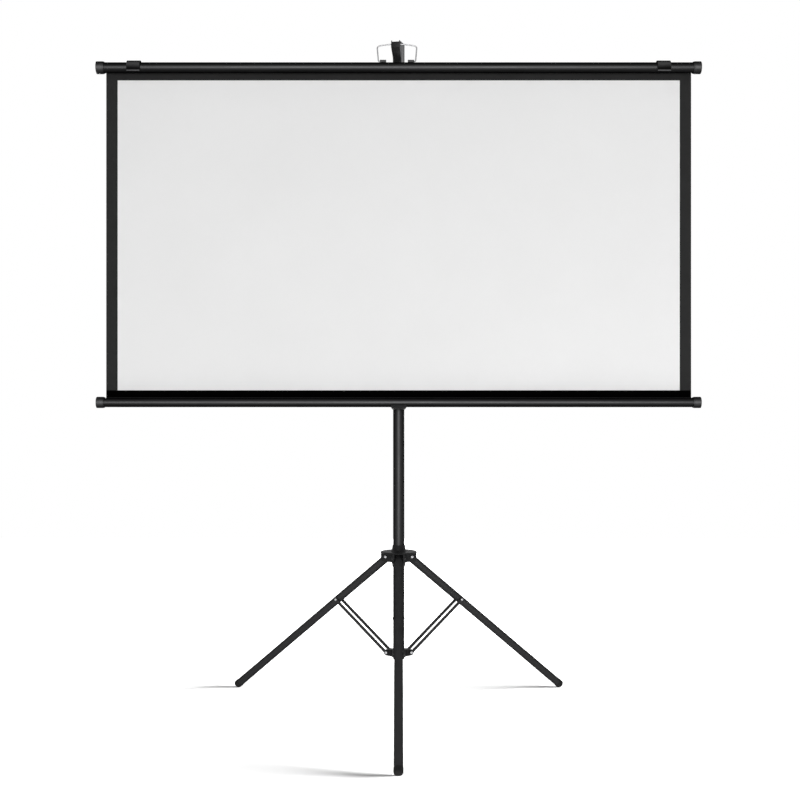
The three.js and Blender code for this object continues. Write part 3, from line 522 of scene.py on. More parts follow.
def lobeTree():  # swells the marked rings of a turned grip into finger lobes
    tree, given = newTree("fingerLobes", ["Lobes", "Depth"], ["Centre"])
    terms = {0: addNode(tree, "GeometryNodeInputPosition"), 1: given["Centre"]}
    at = axes(tree, addNode(tree, "ShaderNodeVectorMath", terms, operation="SUBTRACT"))
    angle = sums(tree, "ARCTAN2", at["Z"], at["X"])
    swell = sums(tree, "COSINE", sums(tree, "MULTIPLY", angle, given["Lobes"]), 0.0)
    share = sums(tree, "MULTIPLY", swell, marked(tree, "grip", "FLOAT"))
    radial = addNode(tree, "ShaderNodeCombineXYZ", {"X": at["X"], "Z": at["Z"]})
    terms = {0: radial, "Scale": sums(tree, "MULTIPLY", share, given["Depth"])}
    push = addNode(tree, "ShaderNodeVectorMath", terms, operation="SCALE")
    moved = addNode(tree, "GeometryNodeSetPosition", {"Geometry": given["Geometry"], "Offset": push})
    return closeTree(tree, moved, given)


rivetRow = rivetTree()
bentWire = wireTree()
fingerLobes = lobeTree()
print("node trees built:", len(bpy.data.node_groups))


def rivets(name, spots, rivet, finish=rivetZinc):  # spots are (place, aim) pairs in millimetres
    mesh = bpy.data.meshes.new(name)
    mesh.from_pydata([(toMetres @ place)[:] for place, aim in spots], [], [])
    aims = mesh.attributes.new("aim", "FLOAT_VECTOR", "POINT")
    for datum, (place, aim) in zip(aims.data, spots):
        datum.vector = aim
    return bakeTree(newObject(name, mesh), rivetRow, {
        "Head Radius": rivet["head"] / 1000, "Head Rise": rivet["rise"] / 1000,
        "Shank Radius": rivet["shank"] / 1000, "Half Grip": rivet["halfGrip"] / 1000, "Finish": finish})


# pole, its plug, and the fixed collar that carries the braces
pole = {"outer": 13.4, "bore": 12.0, "foot": 130.0, "top": 756.7, "edge": 0.5, "steps": 72}
poleFit = pole["outer"] + gap
tube = pipe(pole["bore"], pole["outer"], pole["foot"], pole["top"], pole["edge"])
settle(turned("poleTube", tube, poleAxis, pole["steps"], poleCoat), "pole", "black_tube", "outer_pole")

plug = {"radius": 13.4, "core": 11.7, "rim": 4.0, "depth": 12.0, "edge": 1.2, "steps": 64}
rimZ, seatZ, coreZ = pole["foot"] - plug["rim"], pole["foot"] - gap, pole["foot"] + plug["depth"]
cork = eased([
    (0, rimZ), (plug["radius"], rimZ), (plug["radius"], seatZ), (plug["core"], seatZ), (plug["core"], coreZ),
    (0, coreZ)], plug["edge"], closed=False)
endPlug = turned("poleEndPlug", cork, poleAxis, plug["steps"], hubMoulding)
settle(endPlug, "pole", "black_moulding", "pole_end_plug")

azimuths = {"front": -90.0, "rear_left": 150.0, "rear_right": 30.0}
legPlanes = {place: poleAxis @ swing(azimuth, "Z") for place, azimuth in azimuths.items()}
leg = {
    "open": 51.4, "link": 184.0, "pivot": 28.5, "hubZ": 369.4, "radius": 9.5, "bore": 8.3, "top": 4.0,
    "edge": 0.4, "steps": 56}
openSin, openCos = sin(radians(leg["open"])), cos(radians(leg["open"]))
pivot, hubZ = leg["pivot"], leg["hubZ"]
pinX = pivot + leg["link"] * openSin
pinZ = hubZ - leg["link"] * openCos
collarZ = hubZ - 2 * leg["link"] * openCos

collar = {
    "radius": 17.2, "height": 17.0, "lugHalf": 9.8, "lugRoot": 2.0, "lugEase": 0.4, "eye": 7.5, "edge": 0.8,
    "steps": 72}
low, high = collarZ - collar["height"] / 2, collarZ + collar["height"] / 2
rootX = collar["radius"] - collar["lugRoot"]
lug = [
    (rootX, low + collar["lugEase"]), (pivot, collarZ - collar["eye"]),
    *arc(pivot, collarZ, collar["eye"], -80, 80, 14), (pivot, collarZ + collar["eye"]),
    (rootX, high - collar["lugEase"])]
bm = bmesh.new()
spin(bm, pipe(poleFit, collar["radius"], low, high, collar["edge"], 4), poleAxis, collar["steps"])
for plane in legPlanes.values():
    slab(bm, lug, -collar["lugHalf"], collar["lugHalf"], plane, collar["edge"])
settle(layDown("braceCollar", bm, hubMoulding), "pole", "black_moulding", "brace_collar")

setScrew = {
    "shank": 2.5, "head": 4.2, "headFrom": 5.0, "length": 7.2, "socket": 2.0, "socketFoot": 1.7,
    "socketDeep": 1.6, "edge": 0.6, "steps": 32}
shank, head, headZ, endZ = [setScrew[word] for word in ("shank", "head", "headFrom", "length")]
socketZ = endZ - setScrew["socketDeep"]
profile = eased([
    (0, 0), (shank, 0), (shank, headZ), (head, headZ), (head, endZ), (setScrew["socket"], endZ),
    (setScrew["socketFoot"], socketZ), (0, socketZ)], setScrew["edge"], 3, closed=False)
screwAt = poleAxis @ shift(0, poleFit, collarZ) @ backwards
screw = turned("collarSetScrew", profile, screwAt, setScrew["steps"], rivetZinc)
settle(screw, "pole", "rivet_steel", "collar_set_screw")

braceRivet = {"head": 3.7, "rise": 1.8, "shank": 2.0, "halfGrip": 12.25}
hubRivet = {**braceRivet, "halfGrip": 14.65}
legRivet = {**braceRivet, "head": 3.1, "rise": 1.6}


def legRivets(name, x, z, rivet, body, node, places):  # the front leg's rivets take a dark copy of the zinc: painted shade
    finish = rivetPaintedShade if places == ["front"] else rivetZinc
    planes = [legPlanes[place] for place in places]
    spots = [(plane @ Vector((x, 0, z)), plane.to_3x3() @ Vector((0, 1, 0))) for plane in planes]
    row = rivets(name + places[0], spots, rivet, finish)
    settle(row, body, "rivet_steel", *[node + place for place in places])


for places in (["front"], ["rear_left", "rear_right"]):
    legRivets("collarRivets_", pivot, collarZ, braceRivet, "pole", "collar_rivet_", places)
    legRivets("hubRivets_", pivot, hubZ, hubRivet, "hub", "hub_rivet_", places)
print("pole and collar set")

# legs, feet and brace strips; a foot's radius and round are those of the solid and say where it stands
foot = {
    "radius": 10.8, "round": 3.0, "flat": 2.0, "skirt": 14.0, "wall": 5.0, "skin": 10.1, "tipRound": 4.2,
    "rings": [6.4, 9.0], "ringRise": 0.2, "ringFoot": 1.1, "ringTop": 0.5, "plainFrom": 11.0, "lip": 0.15,
    "lipLong": 0.4, "steps": 56}
strip = {"inner": 10.1, "thick": 2.0, "half": 3.9, "eye": 5.3, "edge": 0.45}
footDrop = (foot["radius"] - foot["round"]) * openSin + foot["round"] - foot["flat"]
footEnd = (hubZ - footDrop) / openCos + foot["round"]
legEnd = footEnd - foot["wall"]


def footProfile():
    skin, top, bore = foot["skin"], foot["skirt"] - footEnd, leg["radius"] + gap
    dip, wide, narrow = foot["ringRise"], foot["ringFoot"], foot["ringTop"]
    ring = ((dip, -wide), (0, -narrow), (0, narrow), (dip, wide))  # moulded for grip
    ribs = [(skin - inward, -footEnd + rise + z) for rise in foot["rings"] for inward, z in ring]
    tip = arc(skin - foot["tipRound"], -footEnd + foot["tipRound"], foot["tipRound"], -90, 0, 8)
    return [
        (0, -footEnd), *tip, *ribs, (skin, -footEnd + foot["plainFrom"]), (skin, top - foot["lipLong"]),
        (skin - foot["lip"], top), (bore, top), (bore, -legEnd - gap), (0, -legEnd - gap)]


run, rise = pinX - pivot, pinZ - collarZ
lean = degrees(asin(strip["half"] / strip["eye"]))
brace = [
    *arc(hypot(run, rise), 0, strip["eye"], -180 + lean, 180 - lean, 26),
    *arc(0, 0, strip["eye"], lean, 360 - lean, 26)]
tube = pipe(leg["bore"], leg["radius"], -legEnd, leg["top"], leg["edge"])
for place, plane in legPlanes.items():
    down = plane @ shift(pivot, 0, hubZ) @ swing(-leg["open"], "Y")
    legTube = turned("legTube_" + place, tube, down, leg["steps"], legCoat)
    settle(legTube, "leg_" + place, "leg_paint", "leg_" + place)

    bm = bmesh.new()
    spin(bm, footProfile(), down, foot["steps"])
    bmesh.ops.remove_doubles(bm, verts=bm.verts, dist=0.0005)
    cut = bmesh.ops.bisect_plane(  # flat on the floor
        bm, geom=bm.verts[:] + bm.edges[:] + bm.faces[:], plane_co=(0, 0, 0), plane_no=(0, 0, -1),
        clear_outer=True)["geom_cut"]
    bmesh.ops.holes_fill(bm, edges=[e for e in cut if isinstance(e, bmesh.types.BMEdge)])
    settle(layDown("footCap_" + place, bm, footRubber), "leg_" + place, "foot_rubber", "foot_cap_" + place)

    lay = plane @ shift(pivot, 0, collarZ) @ swing(-degrees(atan2(rise, run)), "Y")
    bm = bmesh.new()
    for inner in (-strip["inner"] - strip["thick"], strip["inner"]):
        slab(bm, brace, inner, inner + strip["thick"], lay, strip["edge"])
    settle(layDown("braceStrips_" + place, bm, legCoat), "brace_" + place, "leg_paint",
           "brace_strip_" + place + "_a", "brace_strip_" + place + "_b")
    legRivets("legRivet_", pinX, pinZ, legRivet, "leg_" + place, "leg_rivet_", [place])
print("legs stand on", round((hubZ - footDrop) / 1000, 4), "m of drop")

# leg hub: sleeve, round flange and three clevises; rim tells how far in and down from the flange's edge
hub = {
    "sleeve": 16.9, "disc": 43.6, "discZ": 10.5, "discThick": 3.5, "fillet": 3.0, "neckZ": 29.0,
    "rim": [(0.0, 2.4), (1.0, 0.8), (3.0, 0.0)], "footZ": -23.0, "lip": 1.2, "clevisSide": 10.0,
    "clevisThick": 4.5, "clevisRound": 8.0, "reach": 12.8, "depth": 12.0, "root": 6.0, "toe": 1.0,
    "sunk": 1.0, "bossSunk": 2.4, "edge": 0.9, "screwDrop": 15.0, "steps": 96}
boss = {"bore": 3.3, "radius": 8.0, "reach": 8.0, "edge": 0.8, "steps": 48}


def addBoss(bm, low, face, z):  # for a lock screw, on the rear side
    profile = pipe(boss["bore"], boss["radius"], low, face, boss["edge"], 4)
    spin(bm, profile, poleAxis @ shift(0, 0, z) @ backwards, boss["steps"])


sleeve, disc, discZ, depth = [hub[word] for word in ("sleeve", "disc", "discZ", "depth")]
topZ = discZ + hub["discThick"]
lipRadius = poleFit + hub["lip"]
bell = eased([
    (poleFit, hub["footZ"]), (lipRadius, hub["footZ"]), (sleeve, -depth), (sleeve, discZ), (disc, discZ),
    *[(disc - inward, topZ - drop) for inward, drop in hub["rim"]], (sleeve + hub["fillet"], topZ),
    (sleeve, topZ + hub["fillet"]), (lipRadius, hub["neckZ"]), (poleFit, hub["neckZ"])], hub["edge"], 5)
clevisEnd, clevisTop, bow = pivot + hub["reach"], discZ + hub["sunk"], hub["clevisRound"]
clevis = [
    (hub["root"], -depth), (pivot + hub["toe"], -depth), *arc(clevisEnd - bow, bow - depth, bow, -80, 0, 14),
    (clevisEnd, clevisTop), (hub["root"], clevisTop)]
bm = bmesh.new()
spin(bm, bell, poleAxis @ shift(0, 0, hubZ), hub["steps"])
for plane in legPlanes.values():
    for inner in (-hub["clevisSide"] - hub["clevisThick"], hub["clevisSide"]):
        slab(bm, clevis, inner, inner + hub["clevisThick"], plane @ shift(0, 0, hubZ), hub["edge"])
hubFace, hubScrewZ = sleeve + boss["reach"], hubZ - hub["screwDrop"]
addBoss(bm, sleeve - hub["bossSunk"], hubFace, hubScrewZ)
settle(layDown("legHub", bm, hubMoulding), "hub", "black_moulding", "leg_hub")

# lobed lock knobs and their screws; dish gives two shares of the radius
knob = {
    "radius": 11.96, "length": 15.0, "lobes": 6.0, "depth": 0.09, "neck": 7.5, "shoulder": 9.4,
    "gripFrom": 5.0, "dish": (0.55, 0.45), "dishDeep": 0.7, "bore": 3.3, "wall": 3.0, "edge": 1.3,
    "standOff": 1.5, "swellFrom": 6.5, "swellOver": 4.0, "swellLow": 4.9, "smooth": 38, "steps": 96}
lockScrew = {"radius": 3.0, "edge": 0.8, "steps": 32}


def lockKnob(name, screwZ, faceY, tipY, body, knobNode, screwNode):
    base = faceY + knob["standOff"]
    end = base + knob["length"]
    gripY, floorY, dishY = base + knob["gripFrom"], end - knob["wall"], end - knob["dishDeep"]
    bore, radius = knob["bore"], knob["radius"]
    dish = [radius * share for share in knob["dish"]]
    rings = eased([
        (bore, base), (knob["neck"], base), (knob["shoulder"], gripY), (radius, gripY), (radius, end),
        (dish[0], end), (dish[1], dishY), (0, dishY)], knob["edge"], closed=False)
    at = poleAxis @ shift(0, 0, screwZ) @ backwards
    axis = at @ Vector((0, 0, 0))
    bm = bmesh.new()
    mark = bm.verts.layers.float.new("grip")
    spin(bm, [(0, floorY), (bore, floorY), *rings], at, knob["steps"])
    for v in bm.verts:
        away = hypot(v.co.x - axis.x, v.co.z - axis.z)
        swell = min(1.0, max(0.0, (away - knob["swellFrom"]) / knob["swellOver"]))
        v[mark] = swell if v.co.y - axis.y > base + knob["swellLow"] else 0.0
    values = {"Lobes": knob["lobes"], "Depth": knob["depth"], "Centre": tuple(toMetres @ axis)}
    grip = layDown(name + "Knob", bm, hubMoulding)
    bakeTree(grip, fingerLobes, {**values, "Finish": hubMoulding}, knob["smooth"])
    settle(grip, body, "black_moulding", knobNode)
    shank = rod(lockScrew["radius"], tipY, floorY - gap, lockScrew["edge"])
    settle(turned(name + "Screw", shank, at, lockScrew["steps"], rivetZinc), body, "rivet_steel", screwNode)


lockKnob("hubLock", hubScrewZ, hubFace, poleFit, "hub_knob", "hub_lock_knob", "hub_lock_screw")
print("hub and hub lock set")

# lock collar on the pole's top, with the cradle for the lower tube; flare gives half widths by height
upper = {
    "sleeve": 17.6, "low": 722.0, "high": 768.0, "taper": 4.0, "lowIn": 2.0, "highIn": 3.0, "screwZ": 744.0,
    "mast": 10.0, "bossSunk": 1.0, "cradleIn": 12.0, "cradleOut": 15.5, "cradleBack": 0.5, "cradleDrop": 4.2,
    "cradleEdge": 0.6, "edge": 0.9, "steps": 72, "flare": [
        (721.0, 13.6), (723.0, 14.3), (725.0, 15.7), (726.6, 17.6), (728.0, 19.2), (730.0, 19.2),
        (735.0, 16.0)]}
lowTube = {"y": -34.7, "z": 738.9, "radius": 11.2, "wall": 1.2, "capRadius": 13.3}


def roundTube(tube, radius, start, end, steps):
    return arc(tube["y"], tube["z"], radius, start, end, steps)


def flareAt(z):
    for (z0, w0), (z1, w1) in zip(upper["flare"], upper["flare"][1:]):
        if z <= z1:
            return w0 + (w1 - w0) * max(0.0, (z - z0) / (z1 - z0))
    return upper["flare"][-1][1]


low, high, sleeve, taper = [upper[word] for word in ("low", "high", "sleeve", "taper")]
mastFit, stopZ, cradleBack = upper["mast"] + gap, pole["top"] + gap, -pole["outer"] - upper["cradleBack"]
bell = eased([
    (poleFit, low), (sleeve - upper["lowIn"], low), (sleeve, low + taper), (sleeve, high - taper),
    (sleeve - upper["highIn"], high), (mastFit, high), (mastFit, stopZ), (poleFit, stopZ)], upper["edge"])
cradle = [
    *roundTube(lowTube, upper["cradleOut"], 205, 270, 18), (-sleeve, low), (cradleBack, low),
    (cradleBack, lowTube["z"] - upper["cradleDrop"]), *roundTube(lowTube, upper["cradleIn"], 340, 205, 30)]
upperFace = sleeve + boss["reach"]
bm = bmesh.new()
spin(bm, bell, poleAxis, upper["steps"])
slab(bm, cradle, 0, 0, poleAxis @ sideways, upper["cradleEdge"], flareAt)
addBoss(bm, pole["outer"] + upper["bossSunk"], upperFace, upper["screwZ"])
settle(layDown("lockCollar", bm, hubMoulding), "pole", "black_moulding", "lock_collar")
lockKnob("mastLock", upper["screwZ"], upperFace, mastFit, "mast_knob", "mast_lock_knob", "mast_lock_screw")
print("lock collar set")

# sliding mast, its hook and pin, turned a little as they stand; the bushing keeps its solid
mast = {"outer": 10.0, "bore": 8.7, "foot": 650.0, "top": 1569.7, "turn": -9, "edge": 0.4, "steps": 72}
mastAxis = poleAxis @ swing(mast["turn"], "Z")
tube = pipe(mast["bore"], mast["outer"], mast["foot"], mast["top"], mast["edge"])
settle(turned("mastTube", tube, mastAxis, mast["steps"], poleCoat), "mast", "black_tube", "mast_tube")
for slot in frame["nodes"]["mast_bushing"].material_slots:
    slot.material = hubMoulding

topTube = {"y": -36.0, "z": 1528.6, "radius": 12.5, "wall": 1.2, "capRadius": 14.7}
bail = {
    "x": -4.0, "wire": 1.6, "apex": 1584.0, "shoulder": 1579.0, "half": 47.0, "footHalf": 43.0, "rise": 2.6,
    "tail": 3.0, "footBend": [(-1.6, 0), (1, 0), (1.3, 4)], "sideBend": [(-0.6, -7), (0.4, 0), (-7, 1.2)]}
bailZ = topTube["z"] + topTube["radius"] + bail["rise"]
hook = {
    "radius": 14.0, "low": 1512.0, "high": 1599.0, "dome": 9.0, "rim": 0.8, "notch": 12.6, "notchRound": 3.0,
    "archDrop": 0.9, "armDrop": 6.0, "armBack": -11.0, "armHalf": 8.5, "lip": 21.6, "lipRise": 5.0,
    "lipOut": [(0, 0), (-4, 0), (-6, -3), (-5, -12)], "belly": 22.0, "heel": (-4.5, 3.0), "chamfer": 1.0,
    "ear": [(0, -3), (3, -3), (2.2, 4.2), (0.4, 4.2)], "earThick": 4.5, "earEdge": 0.5, "edge": 0.7,
    "steps": 72}
radius, dome, armBack, bow = [hook[word] for word in ("radius", "dome", "armBack", "notchRound")]
lipHalf = hook["lip"] / 2
notchZ = bail["apex"] - hook["archDrop"] - bail["wire"] - gap
lipZ = notchZ + hook["lipRise"]
wideZ = lipZ + hook["lipOut"][-1][1]
armZ, domeZ, capZ = hook["high"] - hook["armDrop"], hook["high"] - dome, mast["top"] + gap
shellFit = mast["outer"] + gap
shell = [
    (0, capZ), (shellFit, capZ), (shellFit, hook["low"]), (radius - hook["rim"], hook["low"]),
    (radius, hook["low"] + hook["rim"]), (radius, domeZ), *arc(radius - dome, domeZ, dome, 10, 90, 12),
    (0, hook["high"])]
nearY, farY = topTube["y"] + hook["notch"] / 2, topTube["y"] - hook["notch"] / 2
heelY, heelZ = hook["heel"]
arm = [
    (armBack, armZ), (nearY + hook["chamfer"], armZ), (nearY, armZ - hook["chamfer"]),
    *arc(nearY - bow, notchZ + bow, bow, 0, -90, 8), *arc(farY + bow, notchZ + bow, bow, -90, -180, 8),
    *[(farY + y, lipZ + z) for y, z in hook["lipOut"]], (topTube["y"], lipZ - hook["belly"]),
    (heelY - radius, bailZ + heelZ), (armBack, bailZ)]


def armWidthAt(z):  # narrows under the lip
    if z >= wideZ:
        return lipHalf
    share = max(0.0, (z - topTube["z"]) / (wideZ - topTube["z"]))
    return hook["armHalf"] + (lipHalf - hook["armHalf"]) * share


bm = bmesh.new()
spin(bm, shell, mastAxis, hook["steps"])
slab(bm, arm, 0, 0, mastAxis @ sideways, hook["edge"], armWidthAt)
for side in (-1, 1):
    ear = [(side * (lipHalf - x), lipZ + z) for x, z in hook["ear"]]
    slab(bm, ear, farY - hook["earThick"], farY, mastAxis, hook["earEdge"])
topHook = settle(layDown("topHook", bm, hubMoulding), "mast", "black_moulding", "top_hook")

hookPin = {"radius": 2.0, "z": 1524.0, "edge": 0.6, "steps": 28}
profile = rod(hookPin["radius"], -radius, radius, hookPin["edge"])
pinAt = mastAxis @ shift(0, 0, hookPin["z"]) @ swing(90, "Y")
settle(turned("hookPin", profile, pinAt, hookPin["steps"], rivetZinc), "mast", "rivet_steel", "hook_pin")
print("mast and hook set")

# cross tubes, their caps and the clamp batten
cross = {"half": 712.6, "edge": 0.35, "steps": 72}
cap = {
    "long": 18.3, "wall": 2.5, "neck": 0.6, "neckLong": 2.4, "step": 2.6, "rim": 0.2, "bevel": 1.6,
    "dish": (0.62, 0.58), "dishDeep": 0.5, "edge": 0.7, "steps": 72}
capSeat = cross["half"] - cap["wall"]
tubeEnd = capSeat - gap


def alongTube(tube, side):
    return poleAxis @ shift(0, tube["y"], tube["z"]) @ swing(side * 90, "Y")


def crossTube(name, tube, body, node):
    profile = pipe(tube["radius"] - tube["wall"], tube["radius"], -tubeEnd, tubeEnd, cross["edge"])
    piece = turned(name, profile, alongTube(tube, 1), cross["steps"], topTubeCoat)
    settle(piece, body, "black_tube", node)


def crossCap(name, tube, side, body, node):
    end, outer, bore = cross["half"], tube["capRadius"], tube["radius"] + gap
    inner, neck, dishZ = end - cap["long"], outer - cap["neck"], end - cap["dishDeep"]
    dish = [outer * share for share in cap["dish"]]
    profile = eased([
        (0, capSeat), (bore, capSeat), (bore, inner), (neck, inner), (neck, inner + cap["neckLong"]),
        (outer, inner + cap["step"]), (outer, end - cap["rim"]), (outer - cap["bevel"], end), (dish[0], end),
        (dish[1], dishZ), (0, dishZ)], cap["edge"], closed=False)
    piece = turned(name, profile, alongTube(tube, side), cap["steps"], capMoulding)
    settle(piece, body, "black_moulding", node)


crossTube("topTube", topTube, "mast", "top_tube")
crossTube("bottomTube", lowTube, "bottom_roller", "bottom_tube")
for side, word in bothSides:
    crossCap("topCap_" + word, topTube, side, "mast", "top_cap_" + word)
    crossCap("bottomCap_" + word, lowTube, side, "bottom_roller", "bottom_cap_" + word)

cloth = {
    "half": 693.3, "front": -23.2, "back": -22.5, "low": 738.9, "high": 1530.6, "ripple": 0.28,
    "columns": 180, "rows": 90}
batten = {"thick": 2.0, "high": 11.0, "drop": 3.5, "round": 1.5, "edge": 0.45}
battenRivet = {
    "head": 3.2, "rise": 1.4, "shank": 1.6, "halfGrip": 6.0, "proud": 0.15, "spots": [-600, -200, 200, 600]}
wide, battenY, battenZ = cloth["half"], cloth["back"] + gap, topTube["z"] - batten["drop"]
low, high, backY = battenZ - batten["high"] / 2, battenZ + batten["high"] / 2, battenY + batten["thick"]
bar = eased([(-wide, low), (wide, low), (wide, high), (-wide, high)], batten["round"], 5)
bm = bmesh.new()
slab(bm, bar, battenY, backY, poleAxis, batten["edge"])
settle(layDown("clampBatten", bm, topTubeCoat), "mast", "black_tube", "clamp_batten")
headY = backY + battenRivet["proud"] - battenRivet["halfGrip"]
spots = [(poleAxis @ Vector((x, headY, battenZ)), Vector((0, 1, 0))) for x in battenRivet["spots"]]
nodes = ["batten_rivet_" + str(i + 1) for i in range(len(spots))]
settle(rivets("battenRivets", spots, battenRivet), "mast", "rivet_steel", *nodes)
print("cross tubes set")

# hanging bail, its two brackets and the sliding wall clips
bracket = {"inner": 25.5, "wide": 15.0, "half": 5.0, "rise": 2.6, "round": 1.2, "steps": 4, "edge": 0.6}
clip = {
    "x": 624.0, "wide": 31.0, "radius": 16.5, "from": 15.0, "to": 219.0, "bead": 0.9, "beadArc": 8.0,
    "beadFoot": 3.0, "paintedHighlightFrom": 0.5, "round": 0.9, "steps": 3, "edge": 0.4}
seat, tubeY, bracketTop = topTube["radius"] + gap, topTube["y"], bailZ + bracket["rise"]
reach = degrees(asin(bracket["half"] / seat))
saddle = [
    *roundTube(topTube, seat, 90 + reach, 90 - reach, 12), (tubeY + bracket["half"], bracketTop),
    (tubeY - bracket["half"], bracketTop)]
beadFrom = clip["to"] - clip["beadArc"]
wrap = [
    *roundTube(topTube, clip["radius"], clip["from"], beadFrom - clip["beadFoot"], 40),
    *roundTube(topTube, clip["radius"] + clip["bead"], beadFrom, clip["to"], 5),
    *roundTube(topTube, seat, clip["to"], clip["from"], 40)]
tubeAxis = poleAxis @ Vector((0, tubeY, topTube["z"]))


def onTube(name, outline, shape, mid, finish):  # a section across the tube, wide along it
    low, high = mid - shape["wide"] / 2, mid + shape["wide"] / 2
    bm = bmesh.new()
    slab(bm, eased(outline, shape["round"], shape["steps"]), low, high, poleAxis @ sideways, shape["edge"])
    return layDown(name, bm, finish)


for side, word in bothSides:
    mid = bail["x"] + side * (bracket["inner"] + bracket["wide"] / 2)
    seated = onTube("bailBracket_" + word, saddle, bracket, mid, bracketMoulding)
    settle(seated, "mast", "black_moulding", "bail_bracket_" + word)
    band = onTube("wallClip_" + word, wrap, clip, side * clip["x"], clipMouldingPaintedLight)
    band.data.materials.append(clipBeadPaintedHighlight)
    for face in band.data.polygons:  # painted highlight: the bead along the lower edge is painted pale, as a lit edge
        away = face.center * 1000 - tubeAxis
        if hypot(away.y, away.z) > clip["radius"] + clip["paintedHighlightFrom"]:
            face.material_index = 1
    settle(band, "clip_" + word, "black_moulding", "wall_clip_" + word)


def bailPath():
    def at(x, z):
        return poleAxis @ Vector((bail["x"] + x, tubeY, z))

    halves = []
    for s in (-1, 1):
        start = at(s * (bracket["inner"] + bail["tail"]), bailZ)
        low = [at(s * (bail["footHalf"] + x), bailZ + z) for x, z in bail["footBend"]]
        high = [at(s * (bail["half"] + x), bail["shoulder"] + z) for x, z in bail["sideBend"]]
        halves.append([start, low[0], *bend(*low, 8), high[0], *bend(*high, 10)])
    crown = at(0, 2 * bail["apex"] - bail["shoulder"] - bail["sideBend"][-1][1])
    return [*halves[0], *bend(halves[0][-1], crown, halves[1][-1], 24)[:-1], *halves[1][::-1]]


route = [toMetres @ p for p in bailPath()]
mesh = bpy.data.meshes.new("bailWire")
mesh.from_pydata([p[:] for p in route], [(i, i + 1) for i in range(len(route) - 1)], [])
bailWire = newObject("bailWire", mesh)
bakeTree(bailWire, bentWire, {"Wire Radius": bail["wire"] / 1000, "Finish": bailPlate})
settle(bailWire, "bail", "bail_chrome", "bail")
print("bail and clips set")

# screen cloth with its white coat and hem; all three share long faint ripples, so that they stay together
view = {"half": 666.2, "low": 767.5, "high": 1502.1, "thick": 0.25, "lift": 0.05, "rows": 90}
hem = {"half": cloth["half"], "low": 751.0, "high": 767.2, "thick": 0.25, "lift": 0.05, "rows": 6}


def ripple(x, z):  # still at the top and foot, where the cloth is held
    up = (z - cloth["low"]) / (cloth["high"] - cloth["low"])
    held = sin(pi * min(1.0, max(0.0, up))) ** 0.8
    return cloth["ripple"] * held * (sin(x / 97.0 + 0.7) + 0.6 * sin(x / 41.0 - z / 260.0))


def clothPanel(name, panel, front, thick, finish):
    half, low, high, rows = [panel[word] for word in ("half", "low", "high", "rows")]
    columns = cloth["columns"]
    acrossX = [-half + 2 * half * i / columns for i in range(columns + 1)]
    upZ = [low + (high - low) * k / rows for k in range(rows + 1)]
    bm = bmesh.new()
    sides = []
    for y in (front, front + thick):
        grid = [[bm.verts.new(poleAxis @ Vector((x, y + ripple(x, z), z))) for x in acrossX] for z in upZ]
        sides.append(grid)
        for k in range(rows):
            for i in range(columns):
                bm.faces.new((grid[k][i], grid[k][i + 1], grid[k + 1][i + 1], grid[k + 1][i]))
    first, second = sides
    ring = [(0, i) for i in range(columns)] + [(k, columns) for k in range(rows)]
    ring += [(rows, i) for i in range(columns, 0, -1)] + [(k, 0) for k in range(rows, 0, -1)]
    for (k0, i0), (k1, i1) in zip(ring, ring[1:] + ring[:1]):
        bm.faces.new((first[k0][i0], first[k1][i1], second[k1][i1], second[k0][i0]))
    return layDown(name, bm, finish, merge=0.0001)


def overCloth(name, panel, finish):
    front = cloth["front"] - panel["lift"] - panel["thick"]
    return clothPanel(name, panel, front, panel["thick"], finish)


screenCloth = clothPanel("screenCloth", cloth, cloth["front"], cloth["back"] - cloth["front"], borderCloth)
whiteFace = overCloth("whiteFace", view, whiteCoat)
footHem = overCloth("footHem", hem, hemTape)
for piece, slotName, node in (
        (screenCloth, "black_fabric", "screen_fabric"), (whiteFace, "white_surface", "viewing_surface"),
        (footHem, "hem_tape", "bottom_hem")):
    settle(piece, "pole", slotName, node)
    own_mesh(piece)
print("screen cloth hung")

# studio: pale floor that fades into a white surround, soft lamps, level camera
studio = {"floor": 0.80, "fadeFrom": 0.54, "fadeTo": 0.90, "ambient": 0.27, "size": 3600.0, "middleY": 0.1}


def seenDirectly(tree):  # rays that should meet the white surround
    path = addNode(tree, "ShaderNodeLightPath").node.outputs
    shown = sums(tree, "MAXIMUM", path["Is Camera Ray"], path["Is Glossy Ray"])
    return sums(tree, "MAXIMUM", shown, path["Is Transmission Ray"])


def evenGrey(level):
    return {"Color": (level, level, level, 1.0)}


def floorPaint(tree):
    radius = addNode(tree, "ShaderNodeVectorMath", {0: objectPlace(tree)}, "Value", operation="LENGTH")
    fade = spread(tree, radius, 0.0, 1.0, studio["fadeFrom"], studio["fadeTo"])
    paint = addNode(tree, "ShaderNodeBsdfDiffuse", evenGrey(studio["floor"]))
    shine = sums(tree, "MULTIPLY", fade, seenDirectly(tree))
    glow = addNode(tree, "ShaderNodeEmission", {"Strength": shine})
    return addNode(tree, "ShaderNodeAddShader", {0: paint, 1: glow})


bm = bmesh.new()
bmesh.ops.create_grid(bm, x_segments=8, y_segments=8, size=studio["size"])
floor = layDown("studioFloorSheet", bm, newFinish("studioFloor", floorPaint))

world = bpy.data.worlds.new("studioSurround")
scene.world = world
tree = clearTree(world)
dim = addNode(tree, "ShaderNodeBackground", evenGrey(studio["ambient"]))
white = addNode(tree, "ShaderNodeBackground", evenGrey(1.0))
surround = addNode(tree, "ShaderNodeMixShader", {"Fac": seenDirectly(tree), 1: dim, 2: white})
addNode(tree, "ShaderNodeOutputWorld", {"Surface": surround})

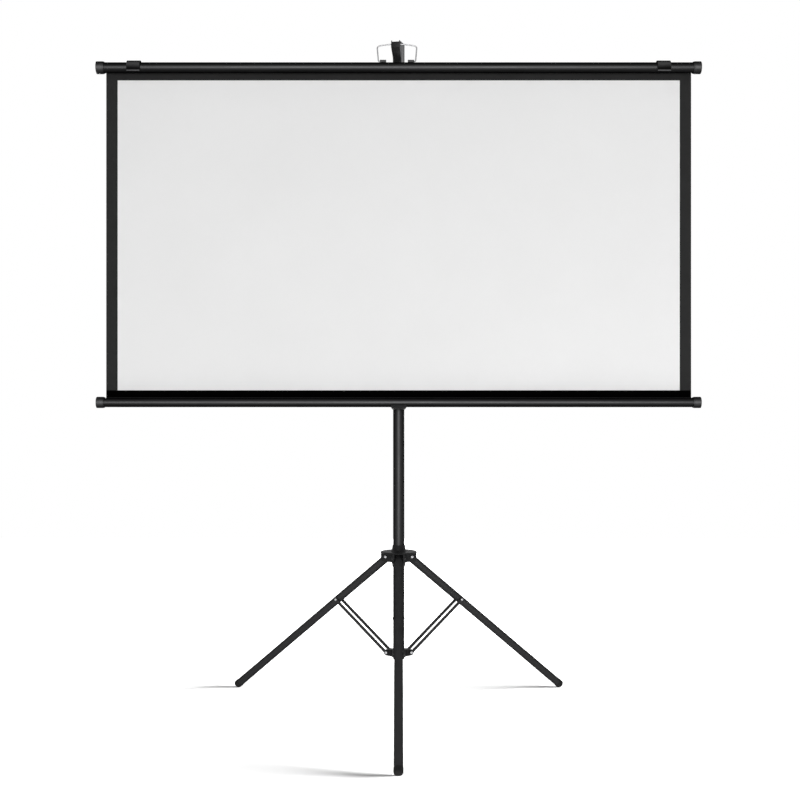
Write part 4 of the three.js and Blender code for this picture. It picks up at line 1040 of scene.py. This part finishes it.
# a lamp that names what it lights leaves everything else alone
lamps = {
    "frontBox": {"at": (-0.8, -8.0, 1.35), "aimZ": 1.1, "size": (2.6, 2.8), "power": 262},
    "shadowBox": {"at": (14.0, -0.2, 2.4), "aimZ": 0.0, "size": (5.0, 1.6), "power": 15900, "on": "floor"},
    "sheenStrip": {"at": (0.0, -8.0, 1.15), "aimZ": 1.15, "size": (9.0, 1.4), "power": 7400, "on": "tubes"},
    "poleStrip": {"at": (0.0, -8.0, 1.4), "aimZ": 1.4, "size": (1.4, 3.0), "power": 1150, "on": "pole"},
    "rearStrip": {"at": (0.0, 8.0, 1.8), "aimZ": 1.15, "size": (9.0, 1.4), "power": 4000, "on": "tubes"},
    "rearPoleStrip": {"at": (1.5, 8.0, 1.6), "aimZ": 1.0, "size": (1.4, 3.0), "power": 700, "on": "pole"},
    "hookBox": {"at": (6.0, -1.5, 1.9), "aimZ": 1.56, "size": (1.2, 1.2), "power": 2200, "on": "hook"}}
lit = {word: bpy.data.collections.new(word + "Lit") for word in ("floor", "tubes", "pole", "hook")}
lit["floor"].objects.link(floor)
lit["hook"].objects.link(topHook)
for piece in scene.objects:
    coat = piece.data.materials[0] if piece.type == "MESH" and len(piece.data.materials) else None
    if coat in (topTubeCoat, capMoulding):
        lit["tubes"].objects.link(piece)
    if coat == poleCoat:
        lit["pole"].objects.link(piece)
for name, lamp in lamps.items():
    light = bpy.data.lights.new(name, "AREA")
    light.shape = "RECTANGLE"
    light.size, light.size_y = lamp["size"]
    light.energy = lamp["power"]
    holder = newObject(name, light)
    holder.location = lamp["at"]
    ray = Vector((0, studio["middleY"], lamp["aimZ"])) - Vector(lamp["at"])
    holder.rotation_euler = ray.to_track_quat("-Z", "Y").to_euler()
    if "on" in lamp:
        holder.light_linking.receiver_collection = lit[lamp["on"]]

shot = {"lens": 52.68, "sensor": 36.0, "at": (0.0031, -2.6791, 0.7446), "farEnd": 100.0}
lens = bpy.data.cameras.new("shotCamera")
lens.lens = shot["lens"]
lens.sensor_width = shot["sensor"]
lens.sensor_fit = "HORIZONTAL"
lens.clip_end = shot["farEnd"]
camera = newObject("shotCamera", lens)
camera.location = shot["at"]
camera.rotation_euler = (pi / 2, 0, 0)  # level
scene.camera = camera
scene.view_settings.view_transform = "Standard"
print("studio lit")
